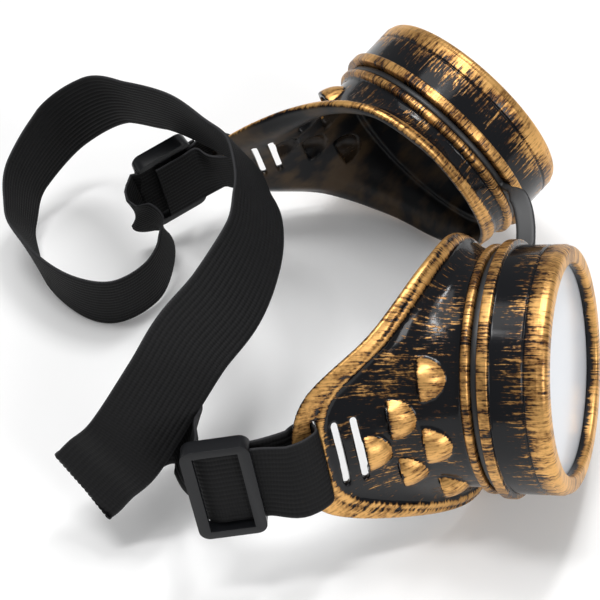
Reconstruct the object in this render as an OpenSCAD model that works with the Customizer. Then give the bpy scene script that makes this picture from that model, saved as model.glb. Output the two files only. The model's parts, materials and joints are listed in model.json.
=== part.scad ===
// Steampunk goggles, lying folded on a table.
// Two cups with screw-on lens rings, a rubber nose bridge and an elastic headband.
// Each cup has its own frame: origin at the centre of its flange face, +X along the
// lens axis, +Z towards the brow and +Y towards the temple. Both cups are the same moulding,
// and the near one is turned half round its lens axis.

/* [Lens and gasket] */
// Radius of the lens
lens_r = 25; // [23:0.05:27]
// Thickness of the lens
lens_t = 2; // [1.6:0.1:2.4]
// Radial clearance around the lens
lens_clearance = 0.25; // [0.2:0.05:0.35]
// Thickness of the gasket
gasket_t = 1; // [0.8:0.1:1.2]
// Width of the gasket
gasket_w = 2.5; // [1.8:0.1:3]
// Clearance between faces that turn on each other
face_clearance = 0.05; // [0.02:0.01:0.1]

/* [Cup] */
// How much further out than the lens the neck reaches
neck_over_lens = 1.2; // [1:0.1:2]
// Thickness of the neck that the lens ring screws on
neck_t = 2.7; // [2:0.1:3.2]
// Depth of the bridge groove below the neck
groove_depth = 0.2; // [0.1:0.05:0.4]
// How far the cup flange stands out from the neck
cup_flange_out = 2.8; // [2.2:0.1:3.6]
// Thickness of the cup flange
cup_flange_t = 2; // [1.6:0.1:2.4]
// How much wider than the neck the cup wall is, just behind its flange
cup_wall_out = 1.3; // [0.8:0.1:1.8]
// Thickness of the cup wall
cup_wall_t = 2; // [1.4:0.1:2.4]

/* [Rim that meets the face] */
// How far the rim edge reaches past the front of the wall, temple side
rim_past_temple = 14.2; // [12:0.1:16]
// How far the rim edge stays inside the front of the wall, nose side
rim_inside_nose = 0.8; // [0.4:0.1:1.6]
// How far the rim edge reaches past the front of the wall, above and below
rim_past_brow = 6.1; // [5:0.1:7.5]
// How far the rim edge lies behind the flange face, temple side
rim_back_temple = 37.3; // [34:0.1:40]
// How far the rim edge lies behind the flange face, nose side
rim_back_nose = 8.2; // [7.8:0.1:9.5]
// Flare of the lip, measured back from the end of the wall, temple side
lip_back_temple = 3.2; // [2.8:0.1:3.6]
// Flare of the lip, measured back from the end of the wall, nose side
lip_back_nose = 1; // [0.8:0.1:1.6]
// Flare of the lip sideways, temple side
lip_out_temple = 4.1; // [3.6:0.1:4.6]
// Flare of the lip sideways, nose side
lip_out_nose = 0.6; // [0.4:0.1:1.2]
// Thickness of the lip
lip_t = 1.3; // [1:0.1:1.6]
// Width of the raised band in front of the lip
band_w = 2.4; // [1.8:0.1:2.6]
// Height of the raised band
band_h = 0.6; // [0.3:0.1:0.8]

/* [Vent domes] */
// Length of a dome along the wall
dome_length = 7.3; // [6.5:0.1:8]
// Radius of a dome at its open flat end
dome_r = 5.4; // [4.9:0.1:5.6]
// How deep the axis of a dome lies below the wall surface
dome_sink = 2.4; // [2.2:0.1:2.8]
// Wall of a dome
dome_wall = 1; // [0.8:0.1:1.2]
// How far the vent opening runs out behind the flat end
dome_cut = 0.3; // [0.2:0.1:0.6]
// Turn of the group of domes about the lens axis
dome_turn = 3.5; // [0:0.5:6]

/* [Strap slots] */
// Width of a strap slot
slot_w = 1.5; // [1.4:0.1:1.8]
// Length of the slot that holds the headband
slot_long = 21.2; // [20.8:0.1:22]
// Length of the two spare slots
slot_short = 17.6; // [14:0.1:18]
// Spacing of the slots along the wall
slot_pitch = 3.9; // [3.6:0.1:4.4]
// Distance of the first slot from the end of the wall
slot_first = 1.2; // [1:0.1:1.4]
// How far the spare slots are shifted along the rim
slot_shift = 0.6; // [0:0.1:1]

/* [Lens ring] */
// Gap between the cup flange and the lens ring
ring_gap = 2; // [1.9:0.1:2.4]
// How far the ring flange stands out from the ring body
ring_flange_out = 1.25; // [0.8:0.05:2]
// Thickness of the ring flange
ring_flange_t = 2.5; // [2:0.1:3]
// Wall of the ring around the neck
ring_wall = 2.25; // [1.8:0.05:2.8]
// Length of the ring
ring_length = 15.2; // [14.5:0.1:17]
// How far the lip of the ring laps over the lens
lip_grip = 0.7; // [0.5:0.05:1.2]
// Length of the lip that holds the lens
ring_lip = 2.8; // [2.4:0.1:3.4]
// Radius of the rounded front edge
ring_round = 1.6; // [1:0.1:2]
// Radius of the rounded edge of the lip's bore
bore_round = 0.9; // [0.6:0.1:1.2]
// Radial clearance between the neck and the ring
thread_clearance = 0.3; // [0.25:0.05:0.4]

/* [Headband and sliders] */
// Width of the headband
strap_w = 20; // [18:0.5:20.4]
// Thickness of the headband
strap_t = 1; // [0.8:0.1:1.1]
// Length of a slider along the headband
slider_l = 15.6; // [15:0.1:16.5]
// Width of a slider across the headband
slider_w = 25.4; // [25:0.1:27]
// Thickness of the front bars of a slider
slider_front_t = 1.4; // [1.2:0.1:2]
// Thickness of the rear bar of a slider
slider_rear_t = 1.2; // [1:0.1:1.6]
// Width of a side bar of a slider
slider_bar = 2.7; // [2.2:0.1:3.2]
// Radius of the slider corners
slider_corner = 2.5; // [2:0.25:3.5]
// Clearance around the headband inside a slider
slider_clearance = 0.3; // [0.25:0.05:0.4]
// Distance of the near slider from its slot
near_slider_reach = 22.4; // [21:0.1:24]
// Distance of the far slider from its slot
far_slider_reach = 19.3; // [18.5:0.1:21]
// How much closer to the cup wall than the slot a slider lies
slider_in = 2.5; // [2:0.1:3]

/* [Nose bridge] */
// Thickness of the rubber loops in the grooves
bridge_loop_t = 2; // [1.6:0.1:2.2]
// Width of the web between the loops
bridge_web_w = 4.7; // [4:0.1:6]
// Thickness of the web
bridge_web_t = 1.5; // [1.2:0.1:2]
// Side clearance of a loop in its groove
bridge_side = 0.12; // [0.1:0.02:0.2]

/* [Pose of the cups] */
// Turn of the near cup about the vertical
near_yaw = -14.3; // [-18:0.1:-10]
// Upward tilt of the near lens
near_pitch = 16.5; // [13:0.1:20]
// Roll of the near cup about its lens axis
near_roll = -14.8; // [-18:0.1:-11]
// Turn of the far cup about the vertical
far_yaw = 43.6; // [40:0.1:47]
// Upward tilt of the far lens
far_pitch = 20.5; // [17:0.1:24]
// Roll of the far cup about its lens axis
far_roll = 7.5; // [4:0.1:11]

/* [Hidden] */
$fn = 96;

// Shift that brings the bottom centre of the whole part to the origin
origin = [2.9, -11.1, -0.1];
// Centres of the two cup flanges on the table, before that shift
near_at = [47, -22, 34.8];
far_at = [33, 49, 35.3];

// Rim shape at every 30 degrees from the temple to the nose:
// share of the reach, share of the setback, share of the half height
rim_shape = [[1, 1, 0], [0.93, 0.91, 0.45], [0.745, 0.425, 0.765], [0.51, 0.125, 1],
             [0.27, 0.03, 0.95], [0.08, 0.005, 0.57], [0, 0, 0]];
rim_step = 30;
// How sharply the wall bends outwards near its end
wall_power_temple = 2.6;
wall_power_nose = 1.6;
// Steps of the cup wall around and along
wall_around = 48;
wall_rows = 5;

neck_r = lens_r + neck_over_lens;
neck_in_r = neck_r - neck_t;
cup_flange_r = neck_r + cup_flange_out;
cup_wall_r = neck_r + cup_wall_out;
rim_temple = cup_wall_r + rim_past_temple;
rim_nose = cup_wall_r - rim_inside_nose;
rim_half_height = cup_wall_r + rim_past_brow;
ring_inner_r = neck_r + thread_clearance;
ring_r = ring_inner_r + ring_wall;
ring_flange_r = ring_r + ring_flange_out;
ring_bore_r = lens_r - lip_grip;
seat_r = lens_r + lens_clearance;
lens_front = ring_length - ring_lip - face_clearance;
seat_back = lens_front - lens_t - gasket_t;
neck_end = ring_gap + seat_back - face_clearance;
groove_r = neck_r - groove_depth;
// Small bevels on the moulded edges, and the shadow line round the ring
edge_bevel = 0.5;
ring_line = 0.3;
ring_line_at = 10;

// Vector helpers
function unit(v) = v / norm(v);
function mix(a, b, t) = a + (b - a) * t;
// Smooth curve through the points b and c with neighbours a and d
function curve(a, b, c, d, t) =
    0.5 * (2 * b + (c - a) * t + (2 * a - 5 * b + 4 * c - d) * t * t
           + (3 * b - a - 3 * c + d) * t * t * t);

// Turn matrices of a frame with yaw, pitch and roll, as three columns
function frame_x(y, p) = [cos(y) * cos(p), sin(y) * cos(p), sin(p)];
function frame_y(y, p, r) = [-sin(y) * cos(r) - cos(y) * sin(p) * sin(r),
                             cos(y) * cos(r) - sin(y) * sin(p) * sin(r),
                             cos(p) * sin(r)];
function frame_z(y, p, r) = [sin(y) * sin(r) - cos(y) * sin(p) * cos(r),
                             -cos(y) * sin(r) - sin(y) * sin(p) * cos(r),
                             cos(p) * cos(r)];

near_x = frame_x(near_yaw, near_pitch);
near_y = -frame_y(near_yaw, near_pitch, near_roll);
near_z = frame_z(near_yaw, near_pitch, near_roll);
far_x = frame_x(far_yaw, far_pitch);
far_y = frame_y(far_yaw, far_pitch, far_roll);
far_z = frame_z(far_yaw, far_pitch, far_roll);

// Points of a cup frame in the frame of the table, temple towards +Y of the cup
function near_point(p) = near_at + p[0] * near_x + p[1] * near_y + p[2] * near_z;
function far_point(p) = far_at + p[0] * far_x + p[1] * far_y + p[2] * far_z;

// Rim edge of a cup: the shape is the same above and below the lens axis
function rim_knot(i) =
    let (k = (i + 12) % 12, up = k <= 6, s = rim_shape[up ? k : 12 - k])
    [-mix(rim_back_nose, rim_back_temple, s[1]),
     mix(-rim_nose, rim_temple, s[0]),
     (up ? 1 : -1) * rim_half_height * s[2]];
function rim_at(a) =
    let (k = floor(a / rim_step), t = a / rim_step - k)
    curve(rim_knot(k - 1), rim_knot(k), rim_knot(k + 1), rim_knot(k + 2), t);
// Share of the temple's shape at a place round the rim, and of its wide lip
function temple_share(a) = pow(cos(a / 2), 2);
function wall_end(a) =
    let (wide = pow(temple_share(a), 3), out = mix(lip_out_nose, lip_out_temple, wide),
         back = mix(lip_back_nose, lip_back_temple, wide))
    rim_at(a) + [back, -out * cos(a), -out * sin(a)];

// The raised band ends a little before the lip and steps down onto it
band_gap = 0.5;
band_step = 0.15;

// Outer surface of the cup wall: w runs from the flange (0) to the lip (1)
function wall_at(w, a) =
    let (start = [-cup_flange_t, cup_wall_r * cos(a), cup_wall_r * sin(a)],
         end = wall_end(a),
         s = pow(w, mix(wall_power_nose, wall_power_temple, temple_share(a))))
    [mix(start[0], end[0], w), mix(start[1], end[1], s), mix(start[2], end[2], s)];
function wall_along(w, a) = unit(wall_at(w + 0.01, a) - wall_at(w - 0.01, a));
function wall_around_at(w, a) = unit(wall_at(w, a + 1) - wall_at(w, a - 1));
function wall_normal(w, a) =
    w < 0.02 ? [0, cos(a), sin(a)] : unit(cross(wall_along(w, a), wall_around_at(w, a)));
function wall_length(a) = norm(wall_at(1, a) - wall_at(0, a));

// One closed section of the wall and lip: outside, round the rim edge, and back inside
function wall_section(a) =
    let (len = wall_length(a), wb = 1 - band_w / len, wg = 1 - band_gap / len,
         end = wall_at(1, a), edge = rim_at(a),
         lip_n = unit(cross(unit(edge - end), wall_around_at(1, a))))
    concat(
        [[-cup_flange_t / 2, cup_wall_r * cos(a), cup_wall_r * sin(a)]],
        [for (i = [0:wall_rows]) wall_at(wb * i / wall_rows, a)],
        [wall_at(wb, a) + band_h * wall_normal(wb, a),
         wall_at(wg, a) + band_h * wall_normal(wg, a),
         end,
         mix(end, edge, band_step) + band_h * lip_n,
         edge,
         edge - lip_t * lip_n],
        [for (i = [wall_rows:-1:1])
            let (w = i / wall_rows) wall_at(w, a) - cup_wall_t * wall_normal(w, a)],
        [[-cup_flange_t / 2, (cup_wall_r - cup_wall_t) * cos(a),
          (cup_wall_r - cup_wall_t) * sin(a)]]);

// Closed ring of equal sections, joined with triangles
module section_ring(sections) {
    n = len(sections);
    m = len(sections[0]);
    polyhedron(
        points = [for (s = sections, p = s) p],
        faces = [for (i = [0:n - 1], j = [0:m - 1], half = [0, 1])
            let (a = i * m + j, b = i * m + (j + 1) % m,
                 c = ((i + 1) % n) * m + j, d = ((i + 1) % n) * m + (j + 1) % m)
            half == 0 ? [a, c, b] : [b, c, d]]);
}

module cup_wall() {
    section_ring([for (i = [0:wall_around - 1]) wall_section(i * 360 / wall_around)]);
}

// Turned parts lie along the lens axis
module turned(outline) {
    rotate([0, 90, 0]) rotate_extrude() polygon(outline);
}

module cup_neck() {
    edge = edge_bevel;
    turned([[neck_in_r, -cup_flange_t], [cup_flange_r - edge, -cup_flange_t],
            [cup_flange_r, edge - cup_flange_t], [cup_flange_r, -edge],
            [cup_flange_r - edge, 0],
            [groove_r, 0], [groove_r, ring_gap], [neck_r, ring_gap],
            [neck_r, neck_end], [neck_in_r, neck_end]]);
}

// A dome sits on the wall with its flat end to the rear and its point forwards
module on_wall(w, a, depth) {
    forward = -wall_along(w, a);
    up = wall_normal(w, a);
    side = cross(up, forward);
    at = wall_at(w, a) - depth * up;
    multmatrix([[forward[0], side[0], up[0], at[0]],
                [forward[1], side[1], up[1], at[1]],
                [forward[2], side[2], up[2], at[2]],
                [0, 0, 0, 1]])
        children();
}
// Places of the domes: turn about the lens axis and setback of the flat end
dome_places = [[-34, 11.5], [0, 11.5], [34, 11.5], [-16, 18.5], [16, 18.5], [0, 24.7]];
dome_steps = 6;
module on_dome_places(depth) {
    for (p = dome_places) {
        a = p[0] + dome_turn;
        span = -wall_end(a)[0] - cup_flange_t;
        on_wall((p[1] - cup_flange_t) / span, a, depth) children();
    }
}
// Half an egg that runs from its flat end to its point
module dome_egg(r, length, start) {
    turned(concat([[0, start], [r, start]],
        [for (i = [0:dome_steps]) let (a = 90 * i / dome_steps) [r * cos(a), length * sin(a)]]));
}
// A dome reaches down to the middle of the cup wall
module dome_body() {
    bottom = dome_sink - cup_wall_t / 2;
    intersection() {
        dome_egg(dome_r, dome_length, 0);
        translate([-dome_length, -dome_r, bottom])
            cube([3 * dome_length, 2 * dome_r, dome_r]);
    }
}
// The vent goes through the wall and opens at the flat end
module dome_vent() {
    dome_egg(dome_r - dome_wall, dome_length - dome_wall, -dome_cut);
}

// Share of the way along the temple side of the wall at which a slot lies
function slot_share(distance) = 1 - distance / wall_length(0);
module strap_slot(distance, length, shift) {
    on_wall(slot_share(distance), 0, 0) translate([0, -shift, 0])
        cube([slot_w, length, 4 * cup_wall_t], center = true);
}

module cup() {
    difference() {
        union() {
            cup_neck();
            cup_wall();
            on_dome_places(dome_sink) dome_body();
        }
        on_dome_places(dome_sink + dome_wall / 2) dome_vent();
        strap_slot(slot_first, slot_long, 0);
        for (i = [1, 2]) strap_slot(slot_first + i * slot_pitch, slot_short, slot_shift);
    }
}

module lens() {
    translate([ring_gap + lens_front - lens_t, 0, 0])
        rotate([0, 90, 0]) cylinder(r = lens_r, h = lens_t);
}

module gasket() {
    translate([ring_gap + seat_back, 0, 0]) rotate([0, 90, 0])
        difference() {
            cylinder(r = lens_r, h = gasket_t);
            translate([0, 0, -1]) cylinder(r = lens_r - gasket_w, h = gasket_t + 2);
        }
}

module lens_ring() {
    edge = edge_bevel;
    line = ring_line;
    seat = ring_length - ring_lip;
    step = seat_back - face_clearance;
    front = ring_r - line;
    outline = concat(
        [[ring_inner_r, 0], [ring_flange_r - edge, 0], [ring_flange_r, edge],
         [ring_flange_r, ring_flange_t - edge], [ring_flange_r - edge, ring_flange_t],
         [ring_r, ring_flange_t],
         [ring_r, ring_line_at - line], [front, ring_line_at], [ring_r, ring_line_at + line],
         [ring_r, ring_length - ring_round - line]],
        [for (i = [0:6]) let (a = 15 * i)
            [front - ring_round + ring_round * cos(a),
             ring_length - ring_round + ring_round * sin(a)]],
        [for (i = [0:4]) let (a = 22.5 * i)
            [ring_bore_r + bore_round - bore_round * sin(a),
             ring_length - bore_round + bore_round * cos(a)]],
        [[ring_bore_r, seat], [seat_r, seat], [seat_r, step], [ring_inner_r, step]]);
    translate([ring_gap, 0, 0]) turned(outline);
}

// Sliders: the headband runs straight through, between the front bars and the rear bar
channel_half = strap_t / 2 + slider_clearance;
// Clearance beside the edges of the headband, and length of the rear bar
slider_side = 0.75;
slider_rear_bar = 3.2;
module rounded_plate(l, w, r, t) {
    linear_extrude(t) {
        square([l - 2 * r, w], center = true);
        square([l, w - 2 * r], center = true);
        for (x = [-1, 1], y = [-1, 1])
            translate([x * (l / 2 - r), y * (w / 2 - r)]) circle(r = r);
    }
}
module slider() {
    window = strap_w + 2 * slider_side;
    total = slider_front_t + slider_rear_t + 2 * channel_half;
    rotate([-90, 0, 0]) difference() {
        translate([0, 0, -channel_half - slider_rear_t])
            rounded_plate(slider_l, slider_w, slider_corner, total);
        cube([2 * slider_l, window, 2 * channel_half], center = true);
        translate([0, 0, total / 2])
            cube([slider_l - 2 * slider_bar, window, total], center = true);
        for (x = [-1, 1])
            translate([x * (slider_l + slider_rear_bar) / 2, 0, -total / 2])
                cube([slider_l, window, total], center = true);
    }
}

// Frame of the slot that holds the headband: back along the wall, out of it, up the cup
slot_mid = wall_at(slot_share(slot_first), 0);
slot_back = wall_along(slot_share(slot_first), 0);
slot_out = wall_normal(slot_share(slot_first), 0);
function from_slot(p) = p[0] * slot_back + p[1] * slot_out + [0, 0, p[2]];
function near_way(p) = near_point(from_slot(p)) - near_at;
function far_way(p) = far_point(from_slot(p)) - far_at;
function square_to(x, up) = unit(up - (up * x) * x);
// Sliders, seen from their slots: centre, direction away from the cup, direction across
near_slider_rise = 1.2;
far_slider_rise = 0.6;
near_slider_at = near_point(slot_mid) + near_way([near_slider_reach, -slider_in, near_slider_rise]);
near_slider_x = unit(near_way([0.94, -0.34, 0.03]));
near_slider_z = square_to(near_slider_x, near_way([0, 0.07, 1]));
far_slider_at = far_point(slot_mid) + far_way([far_slider_reach, -slider_in, far_slider_rise]);
far_slider_x = unit(far_way([0.905, -0.403, 0.139]));
far_slider_z = square_to(far_slider_x, far_way([-0.05, 0.23, 0.97]));
near_slider_y = cross(near_slider_z, near_slider_x);
far_slider_y = cross(far_slider_z, far_slider_x);
function near_slider_point(x, y) = near_slider_at + x * near_slider_x + y * near_slider_y;
function far_slider_point(x, y) = far_slider_at + x * far_slider_x + y * far_slider_y;

// Free loop of the headband: centre and direction of the upper edge, chosen by hand
loop = [
    [[-22.5, -47.5, 30.5], [-0.05, 0.28, 0.95]], [[-25, -40.5, 27], [0.2, 0.28, 0.93]],
    [[-26.5, -33, 23.8], [0.37, 0.27, 0.88]], [[-31, -29.5, 22], [0.1, 0.4, 0.9]],
    [[-38, -32, 21], [-0.3, 0.45, 0.83]], [[-45.5, -38.5, 19], [-0.55, 0.45, 0.7]],
    [[-49.5, -42.2, 17.6], [-0.63, 0.47, 0.62]], [[-50.1, -43.5, 18.3], [-0.63, 0.47, 0.62]],
    [[-49.1, -43.7, 19.5], [-0.65, 0.44, 0.62]], [[-45.8, -42.8, 23.7], [-0.68, 0.4, 0.61]],
    [[-39.6, -41.8, 31.2], [-0.7, 0.32, 0.63]], [[-30.6, -31, 40], [-0.79, 0.2, 0.58]],
    [[-24.7, -22.5, 45], [-0.87, 0.14, 0.47]], [[-16.9, -12.1, 48], [-0.82, 0.08, 0.57]],
    [[-11, 1.3, 51], [-0.63, 0, 0.78]], [[-9.9, 10.8, 54], [-0.57, -0.24, 0.79]],
    [[-11.3, 18.7, 56], [-0.4, -0.35, 0.85]], [[-14.1, 27.3, 56], [-0.33, -0.35, 0.88]],
    [[-20, 33, 55.2], [-0.3, -0.25, 0.92]], [[-28.5, 43, 52], [-0.3, -0.15, 0.94]],
    [[-39.5, 53.5, 46.5], [-0.27, -0.22, 0.94]], [[-51.5, 64.5, 37.5], [-0.3, -0.15, 0.94]],
    [[-64, 66, 26.5], [-0.42, -0.12, 0.9]], [[-73, 55.5, 19.5], [-0.38, -0.32, 0.87]],
    [[-74.5, 47, 15], [-0.3, -0.47, 0.83]], [[-73.5, 40, 12.5], [-0.17, -0.52, 0.84]],
    [[-67.5, 29, 10.8], [0, -0.33, 0.94]], [[-57.5, 20.5, 10.2], [-0.05, -0.15, 0.99]],
    [[-47.5, 18.5, 10.3], [-0.05, -0.15, 0.99]], [[-38.5, 24.5, 11.3], [-0.15, -0.26, 0.95]],
    [[-35, 32.5, 14.2], [-0.13, -0.45, 0.88]], [[-36.3, 37.8, 17.8], [-0.13, -0.38, 0.92]],
    [[-42.7, 39.9, 20.8], [-0.15, -0.16, 0.97]]];

// Headband at a cup, seen from its slot: round the lip, through the slot and back inside
slot_path = [[8.3, 3.1], [5.3, 3.6], [2.5, 3.1], [0.1, 1.6], [0, -1],
             [0.1, -3.1], [1.5, -3.7], [4.1, -3.3], [6.8, -2.3]];
near_slot = [for (p = slot_path) [near_point(slot_mid) + near_way([p[0], p[1], 0]), near_z]];
far_slot = [for (p = slot_path) [far_point(slot_mid) + far_way([p[0], p[1], 0]), far_z]];
// Layer that comes back inside, from the cup to the rear bar of the slider
return_depth = channel_half + slider_rear_t + slider_clearance + strap_t / 2;
function backwards(list) = [for (i = [len(list) - 1:-1:0]) list[i]];
near_end = [for (x = [3.5, -0.5, -4.5, -8.5])
    [near_slider_point(x, -return_depth), near_slider_z]];
near_straight = [for (p = [[-9.5, 0], [-5, 0], [-1, 0], [2.5, 0], [5.5, -1.6]])
    [near_slider_point(p[0], p[1]), near_slider_z]];
far_straight = [for (x = [9.2, 8.4, 7.6, 4, 0, -4, -8, -9.5]) [far_slider_point(x, 0), far_slider_z]];
far_end = [for (x = [-8.5, -4.5, -0.5, 3.5]) [far_slider_point(x, return_depth), far_slider_z]];
strap_route = concat(near_end, backwards(near_slot), near_straight, loop,
                     far_straight, far_slot, far_end);

// A flat band swept along a route of centres and edge directions
function route_at(r, i) = r[max(0, min(len(r) - 1, i))];
function route_point(r, i, t, part) =
    curve(route_at(r, i - 1)[part], route_at(r, i)[part],
          route_at(r, i + 1)[part], route_at(r, i + 2)[part], t);
function band_rows(r, cuts) = concat(
    [for (i = [0:len(r) - 2], k = [0:cuts - 1])
        [route_point(r, i, k / cuts, 0), route_point(r, i, k / cuts, 1)]],
    [r[len(r) - 1]]);
function band_section(rows, i, w, t) =
    let (n = len(rows), a = rows[max(0, i - 1)][0], b = rows[min(n - 1, i + 1)][0],
         along = unit(b - a), up = square_to(along, rows[i][1]) * w / 2,
         out = cross(along, unit(up)) * t / 2, c = rows[i][0])
    [c + up + out, c - up + out, c - up - out, c + up - out];
module section_tube(sections) {
    n = len(sections);
    m = len(sections[0]);
    polyhedron(
        points = [for (s = sections, p = s) p],
        faces = concat(
            [[for (j = [0:m - 1]) j]],
            [for (i = [0:n - 2], j = [0:m - 1], half = [0, 1])
                let (a = i * m + j, b = i * m + (j + 1) % m, c = a + m, d = b + m)
                half == 0 ? [a, c, b] : [b, c, d]],
            [[for (j = [m - 1:-1:0]) (n - 1) * m + j]]));
}
module band(route, w, t, cuts) {
    rows = band_rows(route, cuts);
    section_tube([for (i = [0:len(rows) - 1]) band_section(rows, i, w, t)]);
}

// Nose bridge: a rubber loop in each groove and a web that bends between them
loop_half = ring_gap / 2 - bridge_side;
loop_fit = 0.15;
// The web starts inside its loops and clears the ring flange before it bends
web_overlap = 0.8;
web_gap = 0.45;
web_start = groove_r + web_overlap;
web_clear = ring_flange_r + bridge_web_t / 2 + web_gap;
web_bend = 6;
// The web leaves the loops above the lens axes, turned towards the brow
web_turn = 25;
function web_route() =
    let (m = ring_gap / 2,
         out = [0, -cos(web_turn), sin(web_turn)],
         a0 = near_point([m, 0, 0] + web_start * out), a1 = near_point([m, 0, 0] + web_clear * out),
         b0 = far_point([m, 0, 0] + web_start * out), b1 = far_point([m, 0, 0] + web_clear * out),
         a2 = near_point([m, 0, 0] + (web_clear + web_bend) * out),
         b2 = far_point([m, 0, 0] + (web_clear + web_bend) * out))
    concat([[a0, 0, near_x]],
        [for (k = [0:10]) let (t = k / 10)
            [pow(1 - t, 3) * a1 + 3 * pow(1 - t, 2) * t * a2
                 + 3 * (1 - t) * pow(t, 2) * b2 + pow(t, 3) * b1,
             sin(180 * t), mix(near_x, far_x, t)]],
        [[b0, 0, far_x]]);
module bridge_web() {
    route = web_route();
    n = len(route);
    narrow = 2 * loop_half;
    section_tube([for (i = [0:n - 1])
        let (along = unit(route[min(n - 1, i + 1)][0] - route[max(0, i - 1)][0]),
             grow = min(1, 2 * route[i][1]),
             up = square_to(along, route[i][2]) * mix(narrow, bridge_web_w, grow) / 2,
             out = cross(along, unit(up)) * bridge_web_t / 2, c = route[i][0])
        [c + up + out, c - up + out, c - up - out, c + up - out]]);
}
module bridge_loop() {
    inner = groove_r + loop_fit;
    turned([[inner, ring_gap / 2 - loop_half], [inner + bridge_loop_t, ring_gap / 2 - loop_half],
            [inner + bridge_loop_t, ring_gap / 2 + loop_half],
            [inner, ring_gap / 2 + loop_half]]);
}

// Places on the table
module on_near() {
    translate(near_at) rotate([near_roll, -near_pitch, near_yaw]) rotate([180, 0, 0]) children();
}
module on_far() {
    translate(far_at) rotate([far_roll, -far_pitch, far_yaw]) children();
}
module in_frame(x, y, z, at) {
    multmatrix([[x[0], y[0], z[0], at[0]], [x[1], y[1], z[1], at[1]],
                [x[2], y[2], z[2], at[2]], [0, 0, 0, 1]])
        children();
}

module near_cup() { color("goldenrod") translate(origin) on_near() cup(); }
module near_lens() { color("lightcyan", 0.5) translate(origin) on_near() lens(); }
module near_lens_gasket() { color("dimgray") translate(origin) on_near() gasket(); }
module near_lens_ring() { color("goldenrod") translate(origin) on_near() lens_ring(); }
module near_strap_slider() {
    color("darkslategray") translate(origin)
        in_frame(near_slider_x, near_slider_y, near_slider_z, near_slider_at) slider();
}
module far_cup() { color("goldenrod") translate(origin) on_far() cup(); }
module far_lens() { color("lightcyan", 0.5) translate(origin) on_far() lens(); }
module far_lens_gasket() { color("dimgray") translate(origin) on_far() gasket(); }
module far_lens_ring() { color("goldenrod") translate(origin) on_far() lens_ring(); }
module far_strap_slider() {
    color("darkslategray") translate(origin)
        in_frame(far_slider_x, -far_slider_y, -far_slider_z, far_slider_at) slider();
}
module nose_bridge() {
    color("dimgray") translate(origin) union() {
        on_near() bridge_loop();
        on_far() bridge_loop();
        bridge_web();
    }
}
module headband_strap() {
    color("black") translate(origin) band(strap_route, strap_w, strap_t, 3);
}

near_cup();
near_lens();
near_lens_gasket();
near_lens_ring();
near_strap_slider();
far_cup();
far_lens();
far_lens_gasket();
far_lens_ring();
far_strap_slider();
nose_bridge();
headband_strap();
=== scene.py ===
"""Looks of a pair of steampunk goggles that lie folded on a table.

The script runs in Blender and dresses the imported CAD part. Lengths in the code are in
millimetres, as on the drawing of the part, and become metres when a mesh is made. Each cup
has its own frame: origin at the centre of its flange face, X along the lens axis, Z towards
the brow and Y towards the temple. Both cups are the same moulding: the near one is turned
half round its lens axis.
"""

import json
import math

import bmesh
import bpy
import numpy as np
from bpy.props import FloatProperty, FloatVectorProperty, IntProperty, PointerProperty
from mathutils import Matrix, Vector
from mathutils.kdtree import KDTree


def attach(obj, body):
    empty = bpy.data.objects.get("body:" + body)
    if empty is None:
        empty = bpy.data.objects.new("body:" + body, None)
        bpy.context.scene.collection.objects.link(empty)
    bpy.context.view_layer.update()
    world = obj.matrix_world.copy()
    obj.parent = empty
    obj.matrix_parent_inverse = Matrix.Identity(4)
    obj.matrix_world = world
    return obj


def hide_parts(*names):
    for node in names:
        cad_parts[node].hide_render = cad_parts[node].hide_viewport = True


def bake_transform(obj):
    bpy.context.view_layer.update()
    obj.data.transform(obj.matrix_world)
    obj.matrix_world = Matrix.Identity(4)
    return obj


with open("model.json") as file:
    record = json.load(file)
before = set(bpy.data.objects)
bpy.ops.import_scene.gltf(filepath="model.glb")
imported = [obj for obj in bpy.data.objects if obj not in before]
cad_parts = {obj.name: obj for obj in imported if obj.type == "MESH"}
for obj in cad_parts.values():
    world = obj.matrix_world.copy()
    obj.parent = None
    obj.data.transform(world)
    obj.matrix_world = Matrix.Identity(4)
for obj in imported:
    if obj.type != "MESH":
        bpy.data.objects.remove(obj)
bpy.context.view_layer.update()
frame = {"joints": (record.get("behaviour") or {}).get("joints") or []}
JOINTS = {joint["name"]: joint for joint in frame["joints"]}

bl_info = {
    "name": "Steampunk goggles",
    "version": (1, 0, 0),
    "blender": (4, 5, 0),
    "location": "View3D > Sidebar > Goggles",
    "description": "Dresses the CAD model of a pair of steampunk goggles",
    "category": "Object",
}

MM = 0.001

# Cup, as on the drawing
NECK_R = 26.2
NECK_IN_R = 23.5
NECK_END = 11.3
GROOVE_R = 26.0
FLANGE_R = 29.0
FLANGE_T = 2.0
WALL_R = 27.5
WALL_T = 2.0
RIM_NOSE = 26.7
RIM_TEMPLE = 41.7
RIM_HALF_HEIGHT = 33.6
RIM_BACK_NOSE = 8.2
RIM_BACK_TEMPLE = 37.3
LIP_BACK_NOSE = 1.0
LIP_BACK_TEMPLE = 3.2
LIP_OUT_NOSE = 0.6
LIP_OUT_TEMPLE = 4.1
LIP_T = 1.3
WALL_POWER_NOSE = 1.6
WALL_POWER_TEMPLE = 2.6
RIM_STEP = 30
RIM_SHAPE = [(1, 1, 0), (0.93, 0.91, 0.45), (0.745, 0.425, 0.765), (0.51, 0.125, 1),
             (0.27, 0.03, 0.95), (0.08, 0.005, 0.57), (0, 0, 0)]
# Domes: turn about the lens axis in degrees, and setback of the open end
DOME_PLACES = [(-34, 11.5), (0, 11.5), (34, 11.5), (-16, 18.5), (16, 18.5), (0, 24.7)]
DOME_TURN = 3.5
DOME_SINK = 2.4
DOME_WALL = 1.0
SLOT_FIRST = 1.2
SLOT_PITCH = 3.9
SLOT_LONG = 21.2
SLOT_SHORT = 17.6
SLOT_SHIFT = 0.6

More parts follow.
